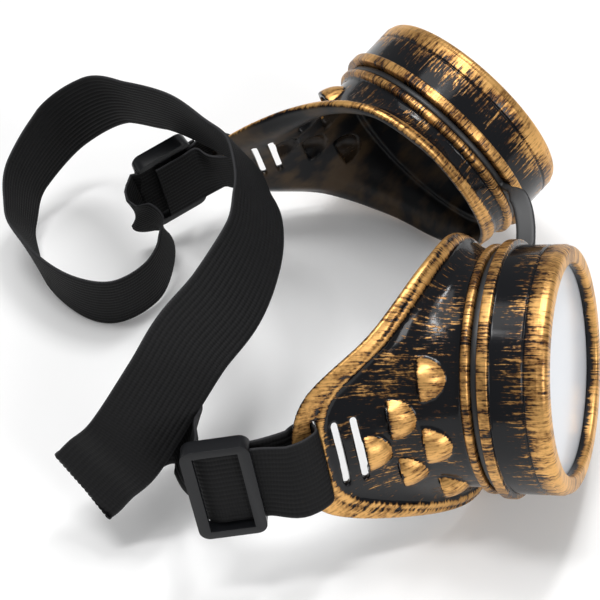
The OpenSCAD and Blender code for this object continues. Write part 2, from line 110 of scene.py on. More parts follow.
# Lens ring, lens and gasket
RING_GAP = 2.0
RING_FLANGE_T = 2.5
RING_FLANGE_R = 30.0
RING_R = 28.75
RING_INNER_R = 26.5
RING_BORE_R = 24.3
RING_LENGTH = 15.2
RING_SEAT = 12.4
RING_STEP = 9.3
SEAT_R = 25.25
RING_LINE_AT = 10.0
RING_LINE_HALF = 0.35
RING_TAPER = 0.3
# How far behind the front the middle of the bore's straight stretch lies, about
RING_BORE_MID = 1.5
LENS_R = 25.0
LENS_BACK = 12.35
LENS_T = 2.0
GASKET_BACK = 11.35
GASKET_T = 1.0
GASKET_W = 2.5
LENS_EDGE = 3.0

# Sliders and headband
SLIDER_REAR_BAR = 3.2
SLIDER_CLEARANCE = 0.3
SLIDER_SIDE = 0.75
SLIDER_FRONT_T = 1.4
SLIDER_REAR_T = 1.2
SLIDER_BAR = 2.7
SLIDER_CORNER = 2.5

# Nose bridge
LOOP_HALF = 0.88
LOOP_IN_R = 26.15
LOOP_T = 2.0
WEB_START = 26.8
WEB_CLEAR = 31.2
WEB_BEND = 6.0
WEB_TURN = 25.0
WEB_STEPS = 30

# Fineness of the meshes: steps round and along the cup wall, the even meshes of a cup and
# of the bridge, and rows along the headband
WALL_STEPS = 180
WALL_ROWS = 20
CUP_GRAIN = 0.4
BRIDGE_GRAIN = 0.3
STRAP_STEP = 0.9

# Gold of the wall, from 0 for none to 1 for all, by the share of the way to the bead
WALL_GOLD = ((0, 0.02), (0.08, 0.2), (0.2, 0.28), (0.6, 0.24), (0.85, 0.2), (0.95, 0.08), (1, 0.05))
# Rows over the bead: share of its width, height in bead heights, and gold. The bead rises
# steeply, runs flat and drops again before the lip.
BEAD_ROWS = ((0.03, 0.6, 0.3), (0.1, 0.88, 0.6), (0.22, 1, 0.82), (0.5, 1.05, 0.9),
             (0.66, 1, 0.85), (0.78, 0.85, 0.7), (0.83, 0.45, 0.5), (0.9, 0.05, 0.35))
# Rows over the lip in the same way, from the wall to the edge of the face rim
LIP_ROWS = ((0, 0.1, 0.35), (0.05, 0.6, 0.5), (0.12, 0.95, 0.6), (0.2, 0.95, 0.72),
            (0.5, 0.6, 0.82), (0.8, 0.25, 0.82), (0.94, 0.02, 0.9))
# Rows round the edge: millimetres outwards, depth in lip thicknesses, gold, and inside
EDGE_ROWS = ((-0.15, 0.1, 0.9, 0), (-0.03, 0.3, 0.75, 0), (0, 0.5, 0.5, 0.3),
             (-0.05, 0.75, 0.3, 0.8), (-0.2, 0.92, 0.1, 1), (-0.55, 1, 0, 1))
FLANGE_GOLD = 0.66
NECK_GOLD = 0.05
# Gold of a lens ring by the place along the lens axis: flange, dark foot of the barrel,
# shadow line, gold front
RING_GOLD = ((2, 0.72), (4.4, 0.72), (4.7, 0), (6.5, 0.2), (9, 0.42), (11.3, 0.56), (11.8, 0.35),
             (12.2, 0.35), (12.6, 0.58), (14, 0.78), (15.5, 0.92), (17.2, 1))
# Gold of a dome by the place from its open end, how far off the wall it starts, gold of
# its flat end, and how much of its hollow is bare inside
DOME_GOLD = ((0, 0.35), (0.6, 0.7), (1.2, 0.95), (6, 0.8))
DOME_OFF_WALL = 0.3
DOME_END_GOLD = 0.15
HOLLOW_INSIDE = 0.6
# The near ring is rubbed less than the far one, and the brushing of the near eye lies
# beside that of the far eye in the pattern
NEAR_RING_LESS = 0.1
BRUSH_SHIFT = 140.0

# Camera of the photograph, as it was fitted to the two rings: focal length and sensor in
# millimetres, place in metres, tilt in degrees
CAMERA_LENS = 103.02
CAMERA_SENSOR = 36
CAMERA_AT = (0.0029, -0.2761, 0.3509)
CAMERA_TILT = 39.83
# What the soft boxes point at, in metres
LIT_SPOT = (0, 0, 0.03)

# Cups on the table: flange centre on the drawing, then yaw, pitch and roll in degrees
NEAR_AT = np.array([47.0, -22.0, 34.8])
FAR_AT = np.array([33.0, 49.0, 35.3])
NEAR_TURN = (-14.3, 16.5, -14.8)
FAR_TURN = (43.6, 20.5, 7.5)


def cup_axes(yaw, pitch, roll):
    """Right-handed axes of a cup on the table, one in each row."""
    y, p, r = (math.radians(angle) for angle in (yaw, pitch, roll))
    sy, cy, sp, cp, sr, cr = math.sin(y), math.cos(y), math.sin(p), math.cos(p), math.sin(r), math.cos(r)
    return np.array([[cy * cp, sy * cp, sp],
                     [-sy * cr - cy * sp * sr, cy * cr - sy * sp * sr, cp * sr],
                     [sy * sr - cy * sp * cr, -cy * sr - sy * sp * cr, cp * cr]])


NEAR_AXES = cup_axes(*NEAR_TURN)
FAR_AXES = cup_axes(*FAR_TURN)
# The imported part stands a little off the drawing, with its bottom centre at the origin
SHIFT = np.array(JOINTS["near_ring_screw"]["pos_m"]) / MM - NEAR_AT


def near_point(p):
    return NEAR_AT + SHIFT + p[0] * NEAR_AXES[0] - p[1] * NEAR_AXES[1] + p[2] * NEAR_AXES[2]


def far_point(p):
    return FAR_AT + SHIFT + p[0] * FAR_AXES[0] + p[1] * FAR_AXES[1] + p[2] * FAR_AXES[2]


def frame_matrix(axes, at):
    """World matrix of a frame: its axes, one in each row, and its place."""
    return Matrix.Translation(Vector((at * MM).tolist())) @ Matrix(axes.T.tolist()).to_4x4()


def cup_place(axes, at):
    """World matrix of a mesh that is drawn in the frame of a cup."""
    return frame_matrix(axes, at + SHIFT)


def unit(v):
    v = np.asarray(v, float)
    return v / np.maximum(np.linalg.norm(v, axis=-1, keepdims=True), 1e-9)


def mix(a, b, t):
    return a + (b - a) * t


def between(a, b, c, d, t):
    """Smooth curve from b to c with neighbours a and d."""
    return 0.5 * (2 * b + (c - a) * t + (2 * a - 5 * b + 4 * c - d) * t ** 2
                  + (3 * b - a - 3 * c + d) * t ** 3)


# Shape of the cup wall

def rim_knots():
    knots = []
    for i in range(12):
        reach, setback, height = RIM_SHAPE[i if i <= 6 else 12 - i]
        knots.append([-mix(RIM_BACK_NOSE, RIM_BACK_TEMPLE, setback),
                      mix(-RIM_NOSE, RIM_TEMPLE, reach),
                      (1 if i <= 6 else -1) * RIM_HALF_HEIGHT * height])
    return np.array(knots)


RIM_KNOTS = rim_knots()


def rim_at(a):
    """Edge of the face rim at the angles a, in degrees from the temple."""
    a = np.asarray(a, float)
    k = np.floor(a / RIM_STEP).astype(int)
    t = (a / RIM_STEP - k)[..., None]
    return between(*(RIM_KNOTS[(k + j) % 12] for j in (-1, 0, 1, 2)), t)


def temple_share(a):
    return np.cos(np.radians(np.asarray(a, float) / 2))[..., None] ** 2


def around(a):
    """Directions square to the lens axis at the angles a."""
    a = np.radians(np.asarray(a, float))
    return np.stack([0 * a, np.cos(a), np.sin(a)], -1)


def wall_end(a):
    wide = temple_share(a) ** 3
    back, out = mix(LIP_BACK_NOSE, LIP_BACK_TEMPLE, wide), mix(LIP_OUT_NOSE, LIP_OUT_TEMPLE, wide)
    return rim_at(a) + back * np.array([1, 0, 0]) - out * around(a)


def wall_at(w, a):
    """Outside of the cup wall: w runs from the flange (0) to the lip (1)."""
    w = np.broadcast_to(np.asarray(w, float), np.shape(a))[..., None]
    start = np.array([-FLANGE_T, 0, 0]) + WALL_R * around(a)
    end = wall_end(a)
    s = np.clip(w, 0, None) ** mix(WALL_POWER_NOSE, WALL_POWER_TEMPLE, temple_share(a))
    return np.concatenate([mix(start, end, w)[..., :1], mix(start, end, s)[..., 1:]], -1)


def wall_along(w, a):
    return unit(wall_at(w + 0.01, a) - wall_at(w - 0.01, a))


def wall_normal(w, a):
    w = np.broadcast_to(np.asarray(w, float), np.shape(a))
    a = np.asarray(a, float)
    bent = unit(np.cross(wall_along(w, a), unit(wall_at(w, a + 1) - wall_at(w, a - 1))))
    return np.where((w < 0.02)[..., None], around(a), bent)


def wall_length(a):
    return np.linalg.norm(wall_at(1, a) - wall_at(0, a), axis=-1)


def cup_wall_rows(look):
    """Rows round the wall, from the flange over the bead and lip and back inside.

    Returns the rows of points and, for each row, how much gold it carries and whether it
    is inside.
    """
    a = np.arange(0, 360, 360 / WALL_STEPS)
    length = wall_length(a)
    bead_start = 1 - look.bead_width / MM / length
    bead_h = look.bead_height / MM
    wall, foot = look.wall_thickness / MM, np.array([-FLANGE_T / 2, 0, 0])
    rows = [(WALL_R * around(a) + foot, 0.1, 0)]
    for i in range(WALL_ROWS + 1):
        share = i / WALL_ROWS
        rows.append((wall_at(bead_start * share, a), np.interp(share, *zip(*WALL_GOLD)), 0))
    for along, up, gold in BEAD_ROWS:
        w = 1 - (1 - along) * look.bead_width / MM / length
        rows.append((wall_at(w, a) + up * bead_h * wall_normal(w, a), gold, 0))
    end, edge = wall_at(1, a), rim_at(a)
    lip_n = unit(np.cross(unit(edge - end), unit(wall_at(1, a + 1) - wall_at(1, a - 1))))
    for along, up, gold in LIP_ROWS:
        rows.append((mix(end, edge, along) + up * bead_h * lip_n, gold, 0))
    out = unit(edge - end)
    for along, down, gold, inside in EDGE_ROWS:
        rows.append((edge + along * out - down * LIP_T * lip_n, gold, inside))
    for i in range(WALL_ROWS, 0, -1):
        w = i / WALL_ROWS
        rows.append((wall_at(w, a) - wall * wall_normal(w, a), 0, 1))
    rows.append(((WALL_R - wall) * around(a) + foot, 0, 1))
    return rows


# Making meshes

def collection():
    return bpy.context.scene.collection


def new_piece(name, points, faces, smooth_angle=40):
    """Object with a mesh of these points, in millimetres, with its faces turned outwards."""
    mesh = bpy.data.meshes.new(name)
    mesh.from_pydata((np.asarray(points, float) * MM).tolist(), [], faces)
    form = bmesh.new()
    form.from_mesh(mesh)
    bmesh.ops.remove_doubles(form, verts=form.verts, dist=1e-3 * MM)
    bmesh.ops.recalc_face_normals(form, faces=form.faces)
    form.to_mesh(mesh)
    form.free()
    shade(mesh, smooth_angle)
    piece = bpy.data.objects.new(name, mesh)
    collection().objects.link(piece)
    return piece


def shade(mesh, smooth_angle):
    mesh.polygons.foreach_set("use_smooth", [True] * len(mesh.polygons))
    mesh.set_sharp_from_angle(angle=math.radians(smooth_angle))
    mesh.update()


def rows_to_faces(rows, columns, close_rows, close_columns):
    """Faces between rows of points that follow each other."""
    faces = []
    for i in range(rows if close_rows else rows - 1):
        for j in range(columns if close_columns else columns - 1):
            a, b = i * columns + j, i * columns + (j + 1) % columns
            c, d = ((i + 1) % rows) * columns + j, ((i + 1) % rows) * columns + (j + 1) % columns
            faces.append((a, c, d, b))
    return faces


def swept_faces(rows, columns):
    """Faces of a form that is swept along its rows and closed at both ends."""
    last = (rows - 1) * columns
    ends = [tuple(range(columns)), tuple(range(last, last + columns))]
    return rows_to_faces(rows, columns, False, True) + ends


def turned_piece(name, outline, steps=160, smooth_angle=40):
    """Lathe form round the lens axis from an outline of (radius, place along the axis)."""
    outline = np.asarray(outline, float)
    a = np.radians(np.arange(0, 360, 360 / steps))
    points = [np.stack([0 * a + x, r * np.cos(a), r * np.sin(a)], -1) for r, x in outline]
    faces = rows_to_faces(len(outline), steps, outline[0][0] > 0, True)
    return new_piece(name, np.concatenate(points), faces, smooth_angle)


def rounded(outline, radius, steps=4):
    """Outline with each corner rounded by about that radius."""
    outline = np.asarray(outline, float)
    made = []
    for i, corner in enumerate(outline):
        before, after = outline[i - 1], outline[(i + 1) % len(outline)]
        room = min(np.linalg.norm(before - corner), np.linalg.norm(after - corner))
        reach = min(radius, 0.45 * room)
        start = corner + unit(before - corner) * reach
        end = corner + unit(after - corner) * reach
        for k in range(steps + 1):
            t = k / steps
            made.append((1 - t) ** 2 * start + 2 * t * (1 - t) * corner + t ** 2 * end)
    return made


def prism(name, outline, low, high):
    """Straight form: the outline in X and Y, from the height low to high."""
    points = [(x, y, z) for z in (low, high) for x, y in outline]
    return new_piece(name, points, swept_faces(2, len(outline)), 30)


def settle(piece):
    """Applies the modifiers of a piece."""
    graph = bpy.context.evaluated_depsgraph_get()
    mesh = bpy.data.meshes.new_from_object(piece.evaluated_get(graph))
    old = piece.data
    piece.modifiers.clear()
    piece.data = mesh
    bpy.data.meshes.remove(old)
    return piece


def combine(piece, tools, operation):
    """Adds the tools to the piece or cuts them from it, and removes them."""
    for tool in tools:
        modifier = piece.modifiers.new(operation.lower(), "BOOLEAN")
        modifier.operation = operation
        modifier.solver = "MANIFOLD"
        modifier.object = tool
    settle(piece)
    for tool in tools:
        bpy.data.objects.remove(tool)
    return piece


def soften(piece, grain, passes):
    """Even mesh with the slightly soft edges of a moulded part."""
    remesh = piece.modifiers.new("even", "REMESH")
    remesh.mode = "VOXEL"
    remesh.voxel_size = grain * MM
    smooth = piece.modifiers.new("soft", "SMOOTH")
    smooth.factor = 0.5
    smooth.iterations = passes
    settle(piece)
    shade(piece.data, 60)
    return piece


def points_of(mesh):
    """Points of a mesh in millimetres."""
    flat = np.zeros(len(mesh.vertices) * 3, np.float32)
    mesh.vertices.foreach_get("co", flat)
    return flat.reshape(-1, 3).astype(float) / MM


def turned_over(piece, name, less=0.0):
    """Copy of a piece for the near eye, turned half round the lens axis and brushed anew.

    It may carry less gold.
    """
    twin = bpy.data.objects.new(name, piece.data.copy())
    collection().objects.link(twin)
    twin.data.transform(Matrix.Rotation(math.pi, 4, "X"))
    brush = twin.data.attributes.get("brush")
    if brush:
        flat = np.zeros(len(twin.data.vertices) * 3, np.float32)
        brush.data.foreach_get("vector", flat)
        brush.data.foreach_set("vector", flat + BRUSH_SHIFT)
        values = twin.data.attributes["gold"].data
        gold = np.zeros(len(values), np.float32)
        values.foreach_get("value", gold)
        values.foreach_set("value", gold - less)
    return twin


def set_numbers(mesh, name, values):
    mesh.attributes.new(name, "FLOAT", "POINT").data.foreach_set("value", np.asarray(values, np.float32))


def set_vectors(mesh, name, values):
    flat = np.asarray(values, np.float32).ravel()
    mesh.attributes.new(name, "FLOAT_VECTOR", "POINT").data.foreach_set("vector", flat)


def set_brushing(mesh, gold, inside):
    """Stores where the brushing runs and how much gold and bare inside each point has."""
    p = points_of(mesh)
    r = np.hypot(p[:, 1], p[:, 2])
    a = np.arctan2(p[:, 2], p[:, 1])
    along = -p[:, 0] + 0.6 * r
    set_vectors(mesh, "brush", np.stack([along, WALL_R * np.cos(a), WALL_R * np.sin(a)], -1))
    set_numbers(mesh, "gold", gold)
    set_numbers(mesh, "inside", inside)


def wear(piece, material, body, place=None):
    """Gives a piece its material, its place and its body."""
    piece.data.materials.clear()
    piece.data.materials.append(material)
    if place is not None:
        piece.data.transform(place)
    if body is not None:
        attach(piece, body)
    return piece


# Materials

def linear(colour):
    """Linear colour of an sRGB hex value."""
    parts = [int(colour[i:i + 2], 16) / 255 for i in (1, 3, 5)]
    return tuple(c / 12.92 if c <= 0.04045 else ((c + 0.055) / 1.055) ** 2.4 for c in parts)


def add(tree, kind, inputs=(), **settings):
    """Adds a node with its settings. An input is a value or the output that feeds it."""
    node = tree.nodes.new(kind)
    for key, value in settings.items():
        setattr(node, key, value)
    for key, value in dict(inputs).items():
        socket = node.inputs[key]
        if isinstance(value, bpy.types.NodeSocket):
            tree.links.new(value, socket)
        else:
            socket.default_value = value
    return node


def new_material(name):
    material = bpy.data.materials.new(name)
    material.use_nodes = True
    material.node_tree.nodes.clear()
    return material


# Strokes of the brush: length and width in millimetres, place in the noise, detail,
# roughness and weight. Streaks are what a few bristles leave, bristles their fine lines,
# specks the bare dots where the wax skipped, and patches where the brush pressed.
BRUSHING = {
    "bristles": ((4, 0.25), (2, 9, 4), 4, 0.65, 0.9),
    "specks": ((1.1, 0.6), (0, 0, 0), 2, 0.5, 0.8),
    "patches": ((12, 7), (7, 3, 5), 3, 0.55, 1.0),
    "streaks": ((6, 0.5), (0, 0, 0), 3, 0.6, 1.5),
}


def gold_rubbed_abs(look):
    """Black ABS with antique gold rubbed over it.

    The ABS is moulded and glossy, and cool black. The gold is a metallic wax paint that was
    dragged along the lens axis with a nearly dry brush: it covers the high places, breaks
    into long streaks between them and leaves the hollows black.
    """
    material = new_material("antique_gold_rubbed_on_black_abs")
    tree = material.node_tree
    brush = add(tree, "ShaderNodeAttribute", attribute_name="brush").outputs["Vector"]
    gold = add(tree, "ShaderNodeAttribute", attribute_name="gold").outputs["Fac"]
    inside = add(tree, "ShaderNodeAttribute", attribute_name="inside").outputs["Fac"]
    patterns, spread = {}, gold
    for name, ((long, wide), place, detail, roughness, weight) in BRUSHING.items():
        stretched = add(tree, "ShaderNodeMapping", {
            "Vector": brush, "Location": place, "Scale": (1 / long, 1 / wide, 1 / wide)}).outputs[0]
        patterns[name] = add(tree, "ShaderNodeTexNoise", {
            "Vector": stretched, "Scale": 1, "Detail": detail, "Roughness": roughness}).outputs["Fac"]
        spread = add(tree, "ShaderNodeMath", {0: patterns[name], 1: weight, 2: spread},
                     operation="MULTIPLY_ADD").outputs[0]
    # The patterns average 2.1 in all, so half of a place is covered where its gold is 0.5
    cover = add(tree, "ShaderNodeMapRange", {
        "Value": spread, "From Min": 2.42, "From Max": 2.78},
        interpolation_type="SMOOTHSTEP").outputs[0]
    outside = add(tree, "ShaderNodeMath", {0: 1.0, 1: inside}, operation="SUBTRACT").outputs[0]
    cover = add(tree, "ShaderNodeMath", {0: cover, 1: outside}, operation="MULTIPLY").outputs[0]
    # Thin and thick places of the wax
    tone = add(tree, "ShaderNodeMath", {0: patterns["patches"], 1: 0.7, 2: spread},
               operation="MULTIPLY_ADD").outputs[0]
    tone = add(tree, "ShaderNodeMapRange", {
        "Value": tone, "From Min": 2.85, "From Max": 3.45}).outputs[0]
    paint = add(tree, "ShaderNodeMix", {
        0: tone, 6: (*look.bronze, 1), 7: (*look.gold, 1)}, data_type="RGBA").outputs[2]
    # Inside, the spray leaves brown clouds on the black
    cloud = add(tree, "ShaderNodeMapRange", {
        "Value": patterns["patches"], "From Min": 0.42, "From Max": 0.62}).outputs[0]
    cloud = add(tree, "ShaderNodeMath", {0: cloud, 1: inside}, operation="MULTIPLY").outputs[0]
    bare = add(tree, "ShaderNodeMix", {
        0: cloud, 6: (*look.plastic, 1), 7: (*look.plastic_inside, 1)}, data_type="RGBA").outputs[2]
    colour = add(tree, "ShaderNodeMix", {0: cover, 6: bare, 7: paint}, data_type="RGBA").outputs[2]
    metal = add(tree, "ShaderNodeMath", {0: cover, 1: 0.75}, operation="MULTIPLY").outputs[0]
    rough = add(tree, "ShaderNodeMapRange", {"Value": cover, "To Min": 0.12, "To Max": 0.4}).outputs[0]
    rough = add(tree, "ShaderNodeMath", {0: inside, 1: 0.25, 2: rough},
                operation="MULTIPLY_ADD").outputs[0]
    # The wax lies 0.03 mm thick, in ridges
    height = add(tree, "ShaderNodeMath", {0: patterns["bristles"], 1: 0.3, 2: cover},
                 operation="MULTIPLY_ADD").outputs[0]
    bump = add(tree, "ShaderNodeBump", {"Height": height, "Strength": 0.5, "Distance": 0.03 * MM})
    shader = add(tree, "ShaderNodeBsdfPrincipled", {
        "Base Color": colour, "Metallic": metal, "Roughness": rough, "IOR": 1.5,
        "Specular IOR Level": 0.25, "Normal": bump.outputs[0]})
    add(tree, "ShaderNodeOutputMaterial", {"Surface": shader.outputs[0]})
    return material


def clear_polycarbonate(look):
    """Flat lens of clear polycarbonate, polished. At a low angle a white layer is mixed in: a painted
    reflection of the white table round it.
    """
    material = new_material("clear_polycarbonate_lens")
    tree = material.node_tree
    glass = add(tree, "ShaderNodeBsdfPrincipled", {
        "Base Color": (*look.lens, 1), "Roughness": 0.04, "IOR": 1.585, "Transmission Weight": 1.0})
    # Painted reflection: a white surface layer stands in for the white table that the lens reflects at a
    # low angle
    white_reflection_layer = add(tree, "ShaderNodeBsdfPrincipled", {
        "Base Color": (*look.lens, 1), "Roughness": 0.25, "IOR": 1.585})
    low = add(tree, "ShaderNodeMapRange", {
        "Value": add(tree, "ShaderNodeLayerWeight", {"Blend": 0.5}).outputs["Facing"],
        "From Min": 0.3, "From Max": 0.62, "To Max": 0.96}).outputs[0]
    shader = add(tree, "ShaderNodeMixShader", {0: low, 1: glass.outputs[0], 2: white_reflection_layer.outputs[0]})
    add(tree, "ShaderNodeOutputMaterial", {"Surface": shader.outputs[0]})
    return material


def soft_rubber(look):
    """Black rubber of the bridge and gaskets: moulded, dull dark grey with a fine grain."""
    material = new_material("moulded_black_rubber")
    tree = material.node_tree
    place = add(tree, "ShaderNodeTexCoord").outputs["Object"]
    # Grain of 0.4 mm
    grain = add(tree, "ShaderNodeTexNoise", {
        "Vector": place, "Scale": 1 / (0.4 * MM), "Detail": 3}).outputs["Fac"]
    # Cloudy bloom of 6 mm
    bloom = add(tree, "ShaderNodeTexNoise", {
        "Vector": place, "Scale": 1 / (6 * MM), "Detail": 3}).outputs["Fac"]
    colour = add(tree, "ShaderNodeMix", {
        0: bloom, 6: (*look.rubber, 1), 7: (*(1.5 * c for c in look.rubber), 1)},
        data_type="RGBA").outputs[2]
    bump = add(tree, "ShaderNodeBump", {"Height": grain, "Strength": 0.4, "Distance": 0.02 * MM})
    shader = add(tree, "ShaderNodeBsdfPrincipled", {
        "Base Color": colour, "Roughness": 0.45, "IOR": 1.52, "Specular IOR Level": 0.5,
        "Normal": bump.outputs[0]})
    add(tree, "ShaderNodeOutputMaterial", {"Surface": shader.outputs[0]})
    return material


def satin_acetal(look):
    """Sliders of black acetal: moulded, satin, with a faint cool sheen on the edges."""
    material = new_material("moulded_black_acetal")
    tree = material.node_tree
    place = add(tree, "ShaderNodeTexCoord").outputs["Object"]
    # Spark-eroded mould grain, 0.25 mm
    grain = add(tree, "ShaderNodeTexNoise", {
        "Vector": place, "Scale": 1 / (0.25 * MM), "Detail": 2}).outputs["Fac"]
    rough = add(tree, "ShaderNodeMapRange", {"Value": grain, "To Min": 0.28, "To Max": 0.42}).outputs[0]
    bump = add(tree, "ShaderNodeBump", {"Height": grain, "Strength": 0.25, "Distance": 0.01 * MM})
    shader = add(tree, "ShaderNodeBsdfPrincipled", {
        "Base Color": (*look.slider, 1), "Roughness": rough, "IOR": 1.48, "Specular IOR Level": 0.35,
        "Normal": bump.outputs[0]})
    add(tree, "ShaderNodeOutputMaterial", {"Surface": shader.outputs[0]})
    return material


def ribbed_webbing(look, half):
    """Headband of black polyester woven over rubber cores: matt, with fine cross threads."""
    material = new_material("woven_black_elastic")
    tree = material.node_tree
    weave = add(tree, "ShaderNodeAttribute", attribute_name="weave").outputs["Vector"]
    # Cross threads 0.7 mm apart
    threads = add(tree, "ShaderNodeTexWave", {
        "Vector": add(tree, "ShaderNodeMapping", {"Vector": weave, "Scale": (0, 1 / 0.7, 0)}).outputs[0],
        "Scale": 1 / math.pi, "Distortion": 0.6, "Detail": 1}, bands_direction="Y").outputs["Fac"]
    fuzz = add(tree, "ShaderNodeTexNoise", {
        "Vector": add(tree, "ShaderNodeMapping", {
            "Vector": weave, "Scale": (1 / 0.3, 1 / 0.3, 1)}).outputs[0],
        "Scale": 1, "Detail": 3}).outputs["Fac"]
    tone = add(tree, "ShaderNodeMath", {0: threads, 1: fuzz}, operation="MULTIPLY").outputs[0]
    colour = add(tree, "ShaderNodeMix", {
        0: tone, 6: (*look.webbing, 1), 7: (*(2.2 * c for c in look.webbing), 1)},
        data_type="RGBA").outputs[2]
    # Painted highlight: the last half millimetre of each edge is made lighter, where the edges of the
    # webbing catch the light
    across = add(tree, "ShaderNodeSeparateXYZ", {0: weave}).outputs[0]
    across = add(tree, "ShaderNodeMath", {0: across}, operation="ABSOLUTE").outputs[0]
    edge = add(tree, "ShaderNodeMapRange", {
        "Value": across, "From Min": half - 0.5, "From Max": half - 0.1}).outputs[0]
    colour = add(tree, "ShaderNodeMix", {
        0: edge, 6: colour, 7: (*(6 * c for c in look.webbing), 1)},
        data_type="RGBA").outputs[2]
    bump = add(tree, "ShaderNodeBump", {"Height": tone, "Strength": 0.6, "Distance": 0.08 * MM})
    shader = add(tree, "ShaderNodeBsdfPrincipled", {
        "Base Color": colour, "Roughness": 0.7, "IOR": 1.5, "Specular IOR Level": 0.2,
        "Normal": bump.outputs[0]})
    add(tree, "ShaderNodeOutputMaterial", {"Surface": shader.outputs[0]})
    return material


# Cups

def wall_frame(w, a, depth):
    """Axes and place of a spot on the wall: X forwards, Y round the cup, Z out of the wall."""
    forward = -wall_along(w, a)
    up = wall_normal(w, a)
    side = np.cross(up, forward)
    at = wall_at(w, a) - depth * up
    return np.array([forward, side, up]), at


def dome_frames(lift=0.0):
    """Axes and places of the domes, sunk into the wall."""
    made = []
    for turn, setback in DOME_PLACES:
        a = turn + DOME_TURN
        span = -wall_end(a)[0] - FLANGE_T
        made.append(wall_frame((setback - FLANGE_T) / span, a, DOME_SINK + lift))
    return made


def put_on_wall(form, axes_at):
    """Moves a form that was drawn at the origin to a spot on the wall."""
    form.data.transform(frame_matrix(*axes_at))
    return form


def dome_egg(name, radius, length, start):
    """Half an egg with its flat end to the rear."""
    outline = [(0, start), (radius, start)]
    for i in range(19):
        t = math.radians(5 * i)
        outline.append((radius * math.cos(t), length * math.sin(t)))
    return turned_piece(name, outline, 64)


def dome_form(radius, length, axes_at):
    """A dome, down to the middle of the cup wall."""
    dome = dome_egg("dome", radius, length, 0)
    bottom = DOME_SINK - WALL_T / 2
    above = box_form(-length, 2 * length, -2 * radius, 2 * radius, bottom, 2 * radius)
    return put_on_wall(combine(dome, [above], "INTERSECT"), axes_at)


def slot_form(distance, length, width, shift):
    """Cutter with round ends for a strap slot, across the temple side of the wall."""
    r = width / 2
    outline = []
    for sign in (1, -1):
        for k in range(13):
            t = math.radians(180 * k / 12)
            outline.append((sign * r * math.cos(t), sign * (length / 2 - r + r * math.sin(t)) - shift))
    form = prism("slot_cutter", outline, -2 * WALL_T, 2 * WALL_T)
    return put_on_wall(form, wall_frame(1 - distance / wall_length(0.0), 0.0, 0.0))


def cup_neck_form():
    """Flange, groove for the bridge, and neck."""
    outline = [(NECK_IN_R, -FLANGE_T), (FLANGE_R, -FLANGE_T), (FLANGE_R, 0), (GROOVE_R, 0),
               (GROOVE_R, RING_GAP), (NECK_R, RING_GAP), (NECK_R, NECK_END), (NECK_IN_R, NECK_END)]
    return turned_piece("cup_neck", rounded(outline, 0.5), WALL_STEPS)


def above_wall(p, turn, w):
    """Heights of points over the outside of the wall, near one place on it."""
    w, a = np.meshgrid(np.clip(w + np.linspace(-0.35, 0.35, 57), 0, 1), turn + np.arange(-24, 25, 1.0))
    near, out = wall_at(w.ravel(), a.ravel()), wall_normal(w.ravel(), a.ravel())
    tree = KDTree(len(near))
    for i, point in enumerate(near):
        tree.insert(point, i)
    tree.balance()
    found = np.array([tree.find(point)[1] for point in p], int)
    return np.sum((p - near[found]) * out[found], -1)


def mark_cup(mesh, rows, look):
    """Gold and inside of every point of a cup, from the nearest rows of its wall."""
    tree = KDTree(sum(len(points) for points, _, _ in rows))
    marks = []
    for points, gold, inside in rows:
        for point in points:
            tree.insert(point, len(marks))
            marks.append((gold, inside))
    tree.balance()
    p = points_of(mesh)
    gold, inside = np.zeros(len(p)), np.zeros(len(p))
    for i, point in enumerate(p):
        total = 0.0
        for _, index, distance in tree.find_n(point, 3):
            share = 1 / (distance + 0.05) ** 2
            gold[i] += share * marks[index][0]
            inside[i] += share * marks[index][1]
            total += share
        gold[i] /= total
        inside[i] /= total
    r = np.hypot(p[:, 1], p[:, 2])
    # Flange and neck
    flange = (p[:, 0] > -FLANGE_T - 0.15) & (r > WALL_R - 0.2)
    gold[flange] = FLANGE_GOLD
    inside[flange] = 0
    neck = p[:, 0] > 0.15
    gold[neck] = NECK_GOLD
    inside[neck] = 0
    inside[(p[:, 0] > -FLANGE_T - 0.5) & (r < NECK_R - 1)] = 1
    # Domes are gold wherever they stand off the wall, with dark flat ends and dark hollows
    radius, length = look.dome_radius / MM, look.dome_length / MM
    for (turn, setback), (axes, at) in zip(DOME_PLACES, dome_frames()):
        local = (p - at) @ axes.T
        close = np.flatnonzero((np.abs(local[:, 1]) < radius + 0.5) & (np.abs(local[:, 0]) < length + 1)
                               & (local[:, 2] > -0.5))
        share = (setback - FLANGE_T) / (-wall_end(turn)[0] - FLANGE_T)
        off_wall = above_wall(p[close], turn + DOME_TURN, share) > DOME_OFF_WALL
        x, y, z = local[close].T
        dome = close[off_wall & (x > -0.1)]
        gold[dome] = np.interp(local[dome, 0], *zip(*DOME_GOLD))
        inside[dome] = 0
        gold[close[off_wall & (np.abs(x) < 0.3)]] = DOME_END_GOLD
        bore = (radius - DOME_WALL + 0.3) * np.sqrt(np.clip(1 - (x / length) ** 2, 0, 1))
        hollow = close[(x > -0.6) & (x < length - 0.6) & (z > 0.3) & (np.hypot(y, z + 0.5) < bore)]
        gold[hollow] = 0.0
        inside[hollow] = HOLLOW_INSIDE
    set_brushing(mesh, gold, inside)


